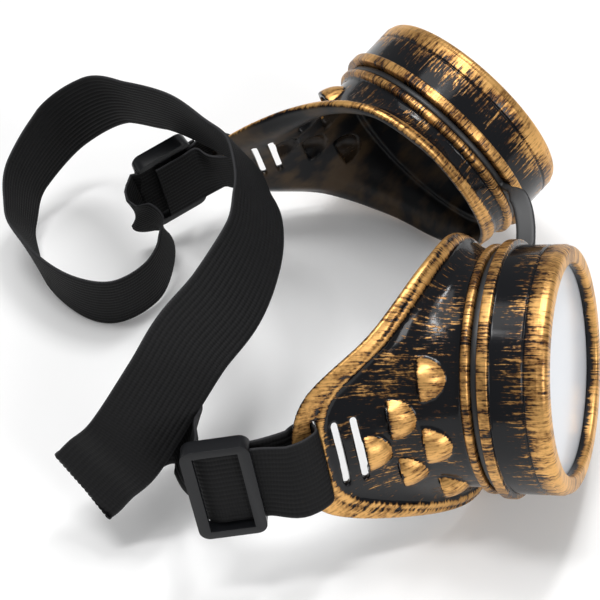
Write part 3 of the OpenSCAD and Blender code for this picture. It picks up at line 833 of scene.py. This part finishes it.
def build_cups(look, finish):
    """Both eye cups: wall with bead and lip, neck, six vent domes and three slots."""
    rows = cup_wall_rows(look)
    points = np.concatenate([row[0] for row in rows])
    cup = new_piece("far_cup_shell", points, rows_to_faces(len(rows), WALL_STEPS, True, True))
    radius, length = look.dome_radius / MM, look.dome_length / MM
    domes = [dome_form(radius, length, place) for place in dome_frames()]
    combine(cup, [cup_neck_form(), *domes], "UNION")
    vents = [put_on_wall(dome_egg("vent", radius - DOME_WALL, length - DOME_WALL, -0.3), place)
             for place in dome_frames(DOME_WALL / 2)]
    width = look.slot_width / MM
    slots = [slot_form(SLOT_FIRST, SLOT_LONG, width, 0)]
    slots += [slot_form(SLOT_FIRST + i * SLOT_PITCH, SLOT_SHORT, width, SLOT_SHIFT) for i in (1, 2)]
    combine(cup, vents + slots, "DIFFERENCE")
    soften(cup, CUP_GRAIN, 3)
    mark_cup(cup.data, rows, look)
    twin = turned_over(cup, "near_cup_shell")
    material = gold_rubbed_abs(finish)
    wear(cup, material, "far_cup", cup_place(FAR_AXES, FAR_AT))
    wear(twin, material, "near_cup", cup_place(NEAR_AXES, NEAR_AT))
    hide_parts("far_cup")
    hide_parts("near_cup")


# Lens rings, lenses and gaskets

def flat_ring(inner, outer, back, thick):
    """Outline of a flat ring, once round from its inner corner at the back."""
    return [(inner, back), (outer, back), (outer, back + thick), (inner, back + thick)]


def arc(radius, centre, first, last, steps=8):
    """Points of (radius, place along the axis) on an arc between two angles in degrees."""
    turns = np.radians(np.linspace(first, last, steps + 1))
    return [(centre[0] + radius * math.cos(t), centre[1] + radius * math.sin(t)) for t in turns]


def ring_outline(look):
    """Outline of a lens ring, once round: outside, over the lip, and inside past the seat."""
    edge, front_edge, bore_edge = look.edge_round / MM, look.front_round / MM, look.bore_round / MM
    front = RING_GAP + RING_LENGTH
    line = RING_GAP + RING_LINE_AT
    outer = rounded([(RING_INNER_R, RING_GAP), (RING_FLANGE_R, RING_GAP),
                     (RING_FLANGE_R, RING_GAP + RING_FLANGE_T), (RING_R, RING_GAP + RING_FLANGE_T),
                     (RING_R, line - RING_LINE_HALF), (RING_R - look.line_depth / MM, line),
                     (RING_R, line + RING_LINE_HALF),
                     (RING_R, front - front_edge - RING_TAPER)], edge)[:-2]
    outer += arc(front_edge, (RING_R - RING_TAPER - front_edge, front - front_edge), 0, 90)
    lip = arc(bore_edge, (RING_BORE_R + bore_edge, front - bore_edge), 90, 180)
    seat = rounded([(RING_BORE_R, front - RING_BORE_MID), (RING_BORE_R, RING_GAP + RING_SEAT),
                    (SEAT_R, RING_GAP + RING_SEAT), (SEAT_R, RING_GAP + RING_STEP),
                    (RING_INNER_R, RING_GAP + RING_STEP)], 0.2)[5:]
    return outer + lip + seat


def build_rings(look, finish):
    """Both lens rings: flange, barrel with its shadow line, and the lip over the lens."""
    outline = ring_outline(look)
    ring = turned_piece("far_lens_ring_body", outline, 200, 50)
    p = points_of(ring.data)
    r = np.hypot(p[:, 1], p[:, 2])
    gold = np.interp(p[:, 0], *zip(*RING_GOLD))
    bare = (r < RING_INNER_R + 0.1) & (p[:, 0] < RING_GAP + RING_LENGTH - 1.0)
    gold = np.where(bare, 0.0, gold)
    set_brushing(ring.data, gold, 0 * gold)
    twin = turned_over(ring, "near_lens_ring_body", NEAR_RING_LESS)
    material = gold_rubbed_abs(finish)
    wear(ring, material, "far_lens_ring", cup_place(FAR_AXES, FAR_AT))
    wear(twin, material, "near_lens_ring", cup_place(NEAR_AXES, NEAR_AT))
    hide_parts("far_lens_ring")
    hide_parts("near_lens_ring")


def build_lenses(look, finish):
    """Both lenses and the gaskets behind them."""
    edge = look.edge_round / MM
    # Of the lens only the two corners of the rim are rounded
    rim = rounded(flat_ring(LENS_R - LENS_EDGE, LENS_R, LENS_BACK, LENS_T), edge)[5:-5]
    disc = [(0, LENS_BACK)] + rim + [(0, LENS_BACK + LENS_T)]
    lens = turned_piece("far_lens_disc", disc, 160, 30)
    gasket = turned_piece("far_gasket_ring", rounded(
        flat_ring(LENS_R - GASKET_W, LENS_R, GASKET_BACK, GASKET_T), edge), 160)
    clear, rubber = clear_polycarbonate(finish), soft_rubber(finish)
    for piece, near_name, material, slot, node in (
            (lens, "near_lens_disc", clear, "clear_lens", "lens"),
            (gasket, "near_gasket_ring", rubber, "black_rubber", "lens_gasket")):
        twin = turned_over(piece, near_name)
        wear(piece, material, "far_lens_stack", cup_place(FAR_AXES, FAR_AT))
        wear(twin, material, "near_lens_stack", cup_place(NEAR_AXES, NEAR_AT))
        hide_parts("far_" + node)
        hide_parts("near_" + node)


# Headband and sliders

SLOT_W = 1 - SLOT_FIRST / float(wall_length(0.0))
SLOT_MID = wall_at(SLOT_W, 0.0)
SLOT_BACK = wall_along(SLOT_W, 0.0)
SLOT_OUT = wall_normal(SLOT_W, 0.0)


def from_slot(p):
    return p[0] * SLOT_BACK + p[1] * SLOT_OUT + np.array([0, 0, p[2]])


def near_way(p):
    return near_point(from_slot(p)) - NEAR_AT - SHIFT


def far_way(p):
    return far_point(from_slot(p)) - FAR_AT - SHIFT


def square_to(x, up):
    return unit(up - np.sum(np.asarray(up) * x, -1, keepdims=True) * x)


NEAR_SLIDER_AT = near_point(SLOT_MID) + near_way([22.4, -2.5, 1.2])
NEAR_SLIDER_X = unit(near_way([0.94, -0.34, 0.03]))
NEAR_SLIDER_Z = square_to(NEAR_SLIDER_X, near_way([0, 0.07, 1]))
NEAR_SLIDER_Y = np.cross(NEAR_SLIDER_Z, NEAR_SLIDER_X)
FAR_SLIDER_AT = far_point(SLOT_MID) + far_way([19.3, -2.5, 0.6])
FAR_SLIDER_X = unit(far_way([0.905, -0.403, 0.139]))
FAR_SLIDER_Z = square_to(FAR_SLIDER_X, far_way([-0.05, 0.23, 0.97]))
FAR_SLIDER_Y = np.cross(FAR_SLIDER_Z, FAR_SLIDER_X)

# Free loop of the headband: centre and direction of the upper edge
LOOP = [
    ((-22.5, -47.5, 30.5), (-0.05, 0.28, 0.95)), ((-25, -40.5, 27), (0.2, 0.28, 0.93)),
    ((-26.5, -33, 23.8), (0.37, 0.27, 0.88)), ((-31, -29.5, 22), (0.1, 0.4, 0.9)),
    ((-38, -32, 21), (-0.3, 0.45, 0.83)), ((-45.5, -38.5, 19), (-0.55, 0.45, 0.7)),
    ((-49.5, -42.2, 17.6), (-0.63, 0.47, 0.62)), ((-50.1, -43.5, 18.3), (-0.63, 0.47, 0.62)),
    ((-49.1, -43.7, 19.5), (-0.65, 0.44, 0.62)), ((-45.8, -42.8, 23.7), (-0.68, 0.4, 0.61)),
    ((-39.6, -41.8, 31.2), (-0.7, 0.32, 0.63)), ((-30.6, -31, 40), (-0.79, 0.2, 0.58)),
    ((-24.7, -22.5, 45), (-0.87, 0.14, 0.47)), ((-16.9, -12.1, 48), (-0.82, 0.08, 0.57)),
    ((-11, 1.3, 51), (-0.63, 0, 0.78)), ((-9.9, 10.8, 54), (-0.57, -0.24, 0.79)),
    ((-11.3, 18.7, 56), (-0.4, -0.35, 0.85)), ((-14.1, 27.3, 56), (-0.33, -0.35, 0.88)),
    ((-20, 33, 55.2), (-0.3, -0.25, 0.92)), ((-28.5, 43, 52), (-0.3, -0.15, 0.94)),
    ((-39.5, 53.5, 46.5), (-0.27, -0.22, 0.94)), ((-51.5, 64.5, 37.5), (-0.3, -0.15, 0.94)),
    ((-64, 66, 26.5), (-0.42, -0.12, 0.9)), ((-73, 55.5, 19.5), (-0.38, -0.32, 0.87)),
    ((-74.5, 47, 15), (-0.3, -0.47, 0.83)), ((-73.5, 40, 12.5), (-0.17, -0.52, 0.84)),
    ((-67.5, 29, 10.8), (0, -0.33, 0.94)), ((-57.5, 20.5, 10.2), (-0.05, -0.15, 0.99)),
    ((-47.5, 18.5, 10.3), (-0.05, -0.15, 0.99)), ((-38.5, 24.5, 11.3), (-0.15, -0.26, 0.95)),
    ((-35, 32.5, 14.2), (-0.13, -0.45, 0.88)), ((-36.3, 37.8, 17.8), (-0.13, -0.38, 0.92)),
    ((-42.7, 39.9, 20.8), (-0.15, -0.16, 0.97))]
# Where the headband is split in two
SPLIT = 26
SLOT_PATH = [(8.3, 3.1), (5.3, 3.6), (2.5, 3.1), (0.1, 1.6), (0, -1),
             (0.1, -3.1), (1.5, -3.7), (4.1, -3.3), (6.8, -2.3)]
NEAR_STRAIGHT = [(-9.5, 0), (-5, 0), (-1, 0), (2.5, 0), (5.5, -1.6)]
FAR_STRAIGHT = [9.2, 8.4, 7.6, 4, 0, -4, -8, -9.5]
TURNED_BACK = [3.5, -0.5, -4.5, -8.5]


def strap_route(thickness):
    """Centres and edge directions of the headband, and the number of the split."""
    depth = thickness + 2 * SLIDER_CLEARANCE + SLIDER_REAR_T
    near = [(NEAR_SLIDER_AT + x * NEAR_SLIDER_X - depth * NEAR_SLIDER_Y, NEAR_SLIDER_Z)
            for x in TURNED_BACK]
    near += [(near_point(SLOT_MID) + near_way([*p, 0]), NEAR_AXES[2]) for p in reversed(SLOT_PATH)]
    near += [(NEAR_SLIDER_AT + x * NEAR_SLIDER_X + y * NEAR_SLIDER_Y, NEAR_SLIDER_Z)
             for x, y in NEAR_STRAIGHT]
    free = [(np.array(p) + SHIFT, np.array(up)) for p, up in LOOP]
    far = [(FAR_SLIDER_AT + x * FAR_SLIDER_X, FAR_SLIDER_Z) for x in FAR_STRAIGHT]
    far += [(far_point(SLOT_MID) + far_way([*p, 0]), FAR_AXES[2]) for p in SLOT_PATH]
    far += [(FAR_SLIDER_AT + x * FAR_SLIDER_X + depth * FAR_SLIDER_Y, FAR_SLIDER_Z)
            for x in reversed(TURNED_BACK)]
    return near + free + far, len(near) + SPLIT


def strap_rows(route):
    """Close rows along the route, with the row at which each point of the route lies."""
    centres, ups, starts = [], [], []
    last = len(route) - 1
    for i in range(last):
        starts.append(len(centres))
        near = [route[min(max(i + j, 0), last)] for j in (-1, 0, 1, 2)]
        steps = max(3, math.ceil(np.linalg.norm(near[2][0] - near[1][0]) / STRAP_STEP))
        for k in range(steps):
            centres.append(between(*(p[0] for p in near), k / steps))
            ups.append(between(*(p[1] for p in near), k / steps))
    centres.append(route[-1][0])
    ups.append(route[-1][1])
    return np.array(centres), np.array(ups), starts


def webbing_section(look):
    """Outline of the webbing: ribs side by side on both faces, and round edges."""
    half, thick = look.width / MM / 2, look.thickness / MM / 2
    depth = look.rib_depth / MM
    edge = 0.45
    per_rib = 6
    across = np.linspace(-half + edge, half - edge, look.ribs * per_rib + 1)
    rib = thick - depth * (1 - np.abs(np.sin(np.pi * np.arange(len(across)) / per_rib)) ** 0.7)
    front = list(zip(across, rib))
    turn = [(half - edge + edge * math.sin(t), rib[-1] * math.cos(t))
            for t in np.radians([30, 60, 90, 120, 150])]
    back = [(u, -v) for u, v in reversed(front)]
    return np.array(front + turn + back + [(-u, -v) for u, v in turn])


def build_strap(look, finish):
    """Headband of ribbed elastic, swept along its route in two halves that meet."""
    route, split = strap_route(look.thickness / MM)
    centres, ups, starts = strap_rows(route)
    ahead, behind = np.roll(centres, -1, 0), np.roll(centres, 1, 0)
    ahead[-1], behind[0] = centres[-1], centres[0]
    along = unit(ahead - behind)
    up = square_to(along, ups)
    out = np.cross(along, up)
    travelled = np.concatenate([[0], np.cumsum(np.linalg.norm(np.diff(centres, axis=0), axis=1))])
    section = webbing_section(look)
    material = ribbed_webbing(finish, look.width / MM / 2)
    seam = starts[split]
    made = []
    for name, first, last in (("headband_near_half", 0, seam),
                              ("headband_far_half", seam, len(centres) - 1)):
        rows = range(first, last + 1)
        points = [centres[i] + section[:, :1] * up[i] + section[:, 1:] * out[i] for i in rows]
        half = new_piece(name, np.concatenate(points), swept_faces(len(rows), len(section)), 50)
        # Across, along and through the webbing
        weave = [np.insert(section, 1, travelled[i], axis=1) for i in rows]
        set_vectors(half.data, "weave", np.concatenate(weave))
        wear(half, material, None)
        made.append(half)
    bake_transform(made[0])
    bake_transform(made[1])
    for half in made:
        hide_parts("headband_strap")


def rounded_plate(length, width, radius):
    """Outline of a plate with round corners."""
    outline = []
    for cx, cy, turn in ((1, 1, 0), (-1, 1, 90), (-1, -1, 180), (1, -1, 270)):
        for k in range(9):
            t = math.radians(turn + 90 * k / 8)
            outline.append((cx * (length / 2 - radius) + radius * math.cos(t),
                            cy * (width / 2 - radius) + radius * math.sin(t)))
    return outline


def box_form(x0, x1, y0, y1, z0, z1):
    return prism("box_cutter", [(x0, y0), (x1, y0), (x1, y1), (x0, y1)], z0, z1)


def build_sliders(look, finish):
    """Both sliders: front bars round a window, and one rear bar."""
    material = satin_acetal(finish)
    thickness = look.thickness / MM
    half = thickness / 2 + SLIDER_CLEARANCE
    window = look.width / MM / 2 + SLIDER_SIDE
    length, width = look.slider_length / MM, look.slider_width / MM
    front = SLIDER_FRONT_T + half
    rear = -half - SLIDER_REAR_T
    for name, at, axes, body, node in (
            ("near_slider_frame", NEAR_SLIDER_AT, (NEAR_SLIDER_X, NEAR_SLIDER_Y, NEAR_SLIDER_Z),
             "near_strap_slider", "near_strap_slider"),
            ("far_slider_frame", FAR_SLIDER_AT, (FAR_SLIDER_X, -FAR_SLIDER_Y, -FAR_SLIDER_Z),
             "far_strap_slider", "far_strap_slider")):
        slider = prism(name, rounded_plate(length, width, SLIDER_CORNER), rear, front)
        bar = length / 2 - SLIDER_BAR
        cutters = [box_form(-length, length, -window, window, -half, half),
                   box_form(-bar, bar, -window, window, 0, front + 1)]
        for side in (-1, 1):
            x0, x1 = sorted((side * SLIDER_REAR_BAR / 2, side * length))
            cutters.append(box_form(x0, x1, -window, window, rear - 1, 0))
        combine(slider, cutters, "DIFFERENCE")
        bevel = slider.modifiers.new("edge", "BEVEL")
        bevel.width = look.slider_edge
        bevel.segments = 3
        bevel.limit_method = "ANGLE"
        bevel.angle_limit = math.radians(40)
        settle(slider)
        shade(slider.data, 35)
        # A slider is drawn flat, with its front up: its Z is the Y of the place on the headband
        x, y, z = axes
        wear(slider, material, body, frame_matrix(np.array([x, -z, y]), at))
        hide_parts(node)


# Nose bridge

def bridge_loop(name, place):
    """Rubber loop that lies in the groove of a cup."""
    outline = flat_ring(LOOP_IN_R, LOOP_IN_R + LOOP_T, RING_GAP / 2 - LOOP_HALF, 2 * LOOP_HALF)
    loop = turned_piece(name, rounded(outline, 0.5), 160)
    loop.data.transform(place)
    return loop


def build_bridge(look, finish):
    """Rubber loops in the grooves of both cups, and the web that bends between them."""
    middle = RING_GAP / 2
    out = np.array([0, -math.cos(math.radians(WEB_TURN)), math.sin(math.radians(WEB_TURN))])
    ends = [np.array([middle, 0, 0]) + r * out for r in (WEB_START, WEB_CLEAR, WEB_CLEAR + WEB_BEND)]
    a0, a1, a2 = (near_point(p) for p in ends)
    b0, b1, b2 = (far_point(p) for p in ends)
    route = [(a0, 0.0, NEAR_AXES[0])]
    for k in range(WEB_STEPS + 1):
        t = k / WEB_STEPS
        at = (1 - t) ** 3 * a1 + 3 * (1 - t) ** 2 * t * a2 + 3 * (1 - t) * t ** 2 * b2 + t ** 3 * b1
        route.append((at, math.sin(math.pi * t), mix(NEAR_AXES[0], FAR_AXES[0], t)))
    route.append((b0, 0.0, FAR_AXES[0]))
    corner = rounded([(1, 1), (-1, 1), (-1, -1), (1, -1)], 0.35)
    points = []
    for i, (at, grow, side) in enumerate(route):
        along = unit(route[min(len(route) - 1, i + 1)][0] - route[max(0, i - 1)][0])
        up = square_to(along, side) * mix(2 * LOOP_HALF, look.web_width / MM, min(1, 2 * grow)) / 2
        through = np.cross(along, unit(up)) * look.web_thickness / MM / 2
        points += [at + u * up + v * through for u, v in corner]
    bridge = new_piece("nose_bridge_rubber", points, swept_faces(len(route), len(corner)))
    combine(bridge, [bridge_loop("near_loop", cup_place(NEAR_AXES, NEAR_AT)),
                     bridge_loop("far_loop", cup_place(FAR_AXES, FAR_AT))], "UNION")
    soften(bridge, BRIDGE_GRAIN, 2)
    wear(bridge, soft_rubber(finish), None)
    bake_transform(bridge)
    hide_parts("nose_bridge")


# Stage

def lamp(name, at, target, size, power, size_y=None):
    """Soft box at a place, turned towards its target."""
    data = bpy.data.lights.new(name, "AREA")
    data.energy = power
    data.size = size
    if size_y:
        data.shape = "RECTANGLE"
        data.size_y = size_y
    item = bpy.data.objects.new(name, data)
    collection().objects.link(item)
    item.location = at
    item.rotation_euler = (Vector(target) - Vector(at)).to_track_quat("-Z", "Y").to_euler()
    return item


def bright_to_camera(tree, lit, seen):
    """Strength of a light or surface: lit for the object, seen for camera, gloss and glass."""
    ray = add(tree, "ShaderNodeLightPath").outputs
    eye = add(tree, "ShaderNodeMath", {0: ray["Is Camera Ray"], 1: ray["Is Glossy Ray"]},
              operation="MAXIMUM").outputs[0]
    eye = add(tree, "ShaderNodeMath", {0: eye, 1: ray["Is Transmission Ray"]},
              operation="MAXIMUM").outputs[0]
    return add(tree, "ShaderNodeMapRange", {"Value": eye, "To Min": lit, "To Max": seen}).outputs[0]


def build_stage(look):
    """White table, soft light from above, and the camera of the photograph."""
    scene = bpy.context.scene
    scene.view_settings.view_transform = "Standard"
    form = bmesh.new()
    bmesh.ops.create_grid(form, x_segments=1, y_segments=1, size=2.0)
    mesh = bpy.data.meshes.new("table_top")
    form.to_mesh(mesh)
    form.free()
    table = bpy.data.objects.new("table_top", mesh)
    collection().objects.link(table)
    # Matt white laminate: a little light of its own for the eye keeps it white, shadows stay.
    # It grows away from the object, where the soft boxes no longer reach.
    material = new_material("matt_white_laminate")
    tree = material.node_tree
    away = add(tree, "ShaderNodeVectorMath", {
        0: add(tree, "ShaderNodeTexCoord").outputs["Object"]}, operation="LENGTH").outputs["Value"]
    away = add(tree, "ShaderNodeMapRange", {
        "Value": away, "From Min": 0.22, "From Max": 1.2,
        "To Min": look.floor_glow, "To Max": 0.75}).outputs[0]
    glow = bright_to_camera(tree, 0.0, away)
    shader = add(tree, "ShaderNodeBsdfPrincipled", {
        "Base Color": (*look.floor, 1), "Roughness": 0.8, "Emission Color": (1, 1, 1, 1),
        "Emission Strength": glow})
    add(tree, "ShaderNodeOutputMaterial", {"Surface": shader.outputs[0]})
    mesh.materials.append(material)
    world = bpy.data.worlds.new("studio")
    scene.world = world
    world.use_nodes = True
    world.node_tree.nodes.clear()
    sky = add(world.node_tree, "ShaderNodeBackground", {"Color": (1, 1, 1, 1), "Strength": look.surround})
    add(world.node_tree, "ShaderNodeOutputWorld", {"Surface": sky.outputs[0]})
    lamp("key_soft_box", (-0.1, 0.15, 0.95), LIT_SPOT, 0.6, look.key_power)
    lamp("left_tube", (-0.19, -0.06, 0.93), LIT_SPOT, 0.1, look.tube_power, 0.3)
    lamp("right_tube", (0.12, 0.26, 0.91), LIT_SPOT, 0.1, look.tube_power, 0.3)
    lamp("front_soft_box", (0.5, -0.6, 0.6), LIT_SPOT, 0.35, look.fill_power)
    camera_data = bpy.data.cameras.new("photo_camera")
    camera_data.lens = CAMERA_LENS
    camera_data.sensor_width = CAMERA_SENSOR
    camera_data.clip_start = 0.01
    camera = bpy.data.objects.new("photo_camera", camera_data)
    collection().objects.link(camera)
    camera.location = CAMERA_AT
    camera.rotation_euler = (math.radians(CAMERA_TILT), 0, 0)
    scene.camera = camera


# Values that a user would change

def length(name, description, millimetres):
    return FloatProperty(name=name, description=description, default=millimetres * MM, min=0,
                         precision=5, subtype="DISTANCE", unit="LENGTH")


def colour(name, description, value):
    return FloatVectorProperty(name=name, description=description, default=linear(value),
                               size=3, min=0, max=1, subtype="COLOR")


def power(name, description, watts):
    return FloatProperty(name=name, description=description, default=watts, min=0,
                         subtype="POWER", unit="POWER")


class GogglesCups(bpy.types.PropertyGroup):
    wall_thickness: length("Wall", "Thickness of the cup wall", 2.0)
    bead_width: length("Bead width", "Width of the raised bead in front of the lip", 2.4)
    bead_height: length("Bead height", "Height of the raised bead", 0.6)
    dome_radius: length("Dome radius", "Radius of a vent dome at its open end", 5.4)
    dome_length: length("Dome length", "Length of a vent dome along the wall", 7.3)
    slot_width: length("Slot width", "Width of a strap slot", 1.5)


class GogglesRings(bpy.types.PropertyGroup):
    edge_round: length("Edge", "Radius of the small rounded edges", 0.45)
    front_round: length("Front edge", "Radius of the rounded front edge", 1.6)
    bore_round: length("Bore edge", "Radius of the rounded edge of the lip's bore", 0.9)
    line_depth: length("Shadow line", "Depth of the line round the ring", 0.35)


class GogglesHeadband(bpy.types.PropertyGroup):
    width: length("Width", "Width of the headband", 20.0)
    thickness: length("Thickness", "Thickness of the headband", 1.0)
    rib_depth: length("Rib depth", "Depth of the grooves between the ribs", 0.16)
    ribs: IntProperty(name="Ribs", description="Ribs side by side on each face", default=15, min=3, max=40)
    slider_length: length("Slider length", "Length of a slider along the headband", 15.6)
    slider_width: length("Slider width", "Width of a slider across the headband", 25.4)
    slider_edge: length("Slider edge", "Radius of the edges of a slider", 0.3)


class GogglesBridge(bpy.types.PropertyGroup):
    web_width: length("Web width", "Width of the web between the loops", 4.7)
    web_thickness: length("Web thickness", "Thickness of the web", 1.5)


class GogglesFinish(bpy.types.PropertyGroup):
    gold: colour("Gold", "Bright places of the rubbed gold", "#E6B26C")
    bronze: colour("Bronze", "Darker places of the rubbed gold", "#6B4220")
    plastic: colour("Plastic", "Bare ABS of the cups and rings", "#131417")
    plastic_inside: colour("Inside", "Bare ABS inside the cups", "#4B3B29")
    # The lens colour also tints the painted reflection that the lenses show at a low angle
    lens: colour("Lens", "Tint of the lenses", "#F2F6FC")
    rubber: colour("Rubber", "Bridge and gaskets", "#1F2022")
    slider: colour("Sliders", "Acetal of the sliders", "#131417")
    webbing: colour("Webbing", "Threads of the headband", "#0F0F10")


class GogglesStage(bpy.types.PropertyGroup):
    floor: colour("Table", "Colour of the table", "#F2F2F2")
    floor_glow: FloatProperty(name="Table glow", description="Light of the table that only the eye sees",
                              default=0.09, min=0, max=1)
    surround: FloatProperty(name="Surround", description="Strength of the light from all round",
                            default=0.26, min=0)
    key_power: power("Key", "Power of the large soft box", 2.6)
    tube_power: power("Tubes", "Power of each of the two narrow boxes", 2.4)
    fill_power: power("Fill", "Power of the front soft box", 3.0)


class GogglesSettings(bpy.types.PropertyGroup):
    cups: PointerProperty(type=GogglesCups, name="Cups", description="Sizes of the cups")
    rings: PointerProperty(type=GogglesRings, name="Rings", description="Sizes of the lens rings")
    headband: PointerProperty(type=GogglesHeadband, name="Headband", description="Headband and sliders")
    bridge: PointerProperty(type=GogglesBridge, name="Bridge", description="Sizes of the nose bridge")
    finish: PointerProperty(type=GogglesFinish, name="Finish", description="Colours of the goggles")
    stage: PointerProperty(type=GogglesStage, name="Stage", description="Table and light")


class OBJECT_OT_goggles_cups(bpy.types.Operator):
    """Builds both eye cups"""
    bl_idname = "object.goggles_cups"
    bl_label = "Eye cups"

    def execute(self, context):
        settings = context.scene.goggles
        build_cups(settings.cups, settings.finish)
        return {"FINISHED"}


class OBJECT_OT_goggles_rings(bpy.types.Operator):
    """Builds both lens rings"""
    bl_idname = "object.goggles_rings"
    bl_label = "Lens rings"

    def execute(self, context):
        settings = context.scene.goggles
        build_rings(settings.rings, settings.finish)
        return {"FINISHED"}


class OBJECT_OT_goggles_lenses(bpy.types.Operator):
    """Builds both lenses and their gaskets"""
    bl_idname = "object.goggles_lenses"
    bl_label = "Lenses and gaskets"

    def execute(self, context):
        settings = context.scene.goggles
        build_lenses(settings.rings, settings.finish)
        return {"FINISHED"}


class OBJECT_OT_goggles_bridge(bpy.types.Operator):
    """Builds the rubber nose bridge"""
    bl_idname = "object.goggles_bridge"
    bl_label = "Nose bridge"

    def execute(self, context):
        settings = context.scene.goggles
        build_bridge(settings.bridge, settings.finish)
        return {"FINISHED"}


class OBJECT_OT_goggles_sliders(bpy.types.Operator):
    """Builds both sliders of the headband"""
    bl_idname = "object.goggles_sliders"
    bl_label = "Sliders"

    def execute(self, context):
        settings = context.scene.goggles
        build_sliders(settings.headband, settings.finish)
        return {"FINISHED"}


class OBJECT_OT_goggles_headband(bpy.types.Operator):
    """Builds the elastic headband"""
    bl_idname = "object.goggles_headband"
    bl_label = "Headband"

    def execute(self, context):
        settings = context.scene.goggles
        build_strap(settings.headband, settings.finish)
        return {"FINISHED"}


class OBJECT_OT_goggles_stage(bpy.types.Operator):
    """Sets up the table, the light and the camera"""
    bl_idname = "object.goggles_stage"
    bl_label = "Stage"

    def execute(self, context):
        build_stage(context.scene.goggles.stage)
        return {"FINISHED"}


class VIEW3D_PT_goggles(bpy.types.Panel):
    """Lists the pieces of the goggles and their values"""
    bl_idname = "VIEW3D_PT_goggles"
    bl_label = "Steampunk goggles"
    bl_space_type = "VIEW_3D"
    bl_region_type = "UI"
    bl_category = "Goggles"

    def draw(self, context):
        settings = context.scene.goggles
        for operator in OPERATORS:
            self.layout.operator(operator.bl_idname)
        for group in ("cups", "rings", "headband", "bridge", "finish", "stage"):
            values = getattr(settings, group)
            box = self.layout.box()
            box.label(text=group.capitalize())
            for key in values.__annotations__:
                box.prop(values, key)


OPERATORS = (OBJECT_OT_goggles_cups, OBJECT_OT_goggles_rings, OBJECT_OT_goggles_lenses,
             OBJECT_OT_goggles_bridge, OBJECT_OT_goggles_sliders, OBJECT_OT_goggles_headband,
             OBJECT_OT_goggles_stage)
CLASSES = (GogglesCups, GogglesRings, GogglesHeadband, GogglesBridge, GogglesFinish, GogglesStage,
           GogglesSettings, *OPERATORS, VIEW3D_PT_goggles)


def register():
    for item in CLASSES:
        bpy.utils.register_class(item)
    bpy.types.Scene.goggles = PointerProperty(type=GogglesSettings)


def unregister():
    del bpy.types.Scene.goggles
    for item in reversed(CLASSES):
        bpy.utils.unregister_class(item)


def main():
    register()
    bpy.ops.object.goggles_cups()
    bpy.ops.object.goggles_rings()
    bpy.ops.object.goggles_lenses()
    bpy.ops.object.goggles_bridge()
    bpy.ops.object.goggles_sliders()
    bpy.ops.object.goggles_headband()
    bpy.ops.object.goggles_stage()


if __name__ == "__main__":
    main()
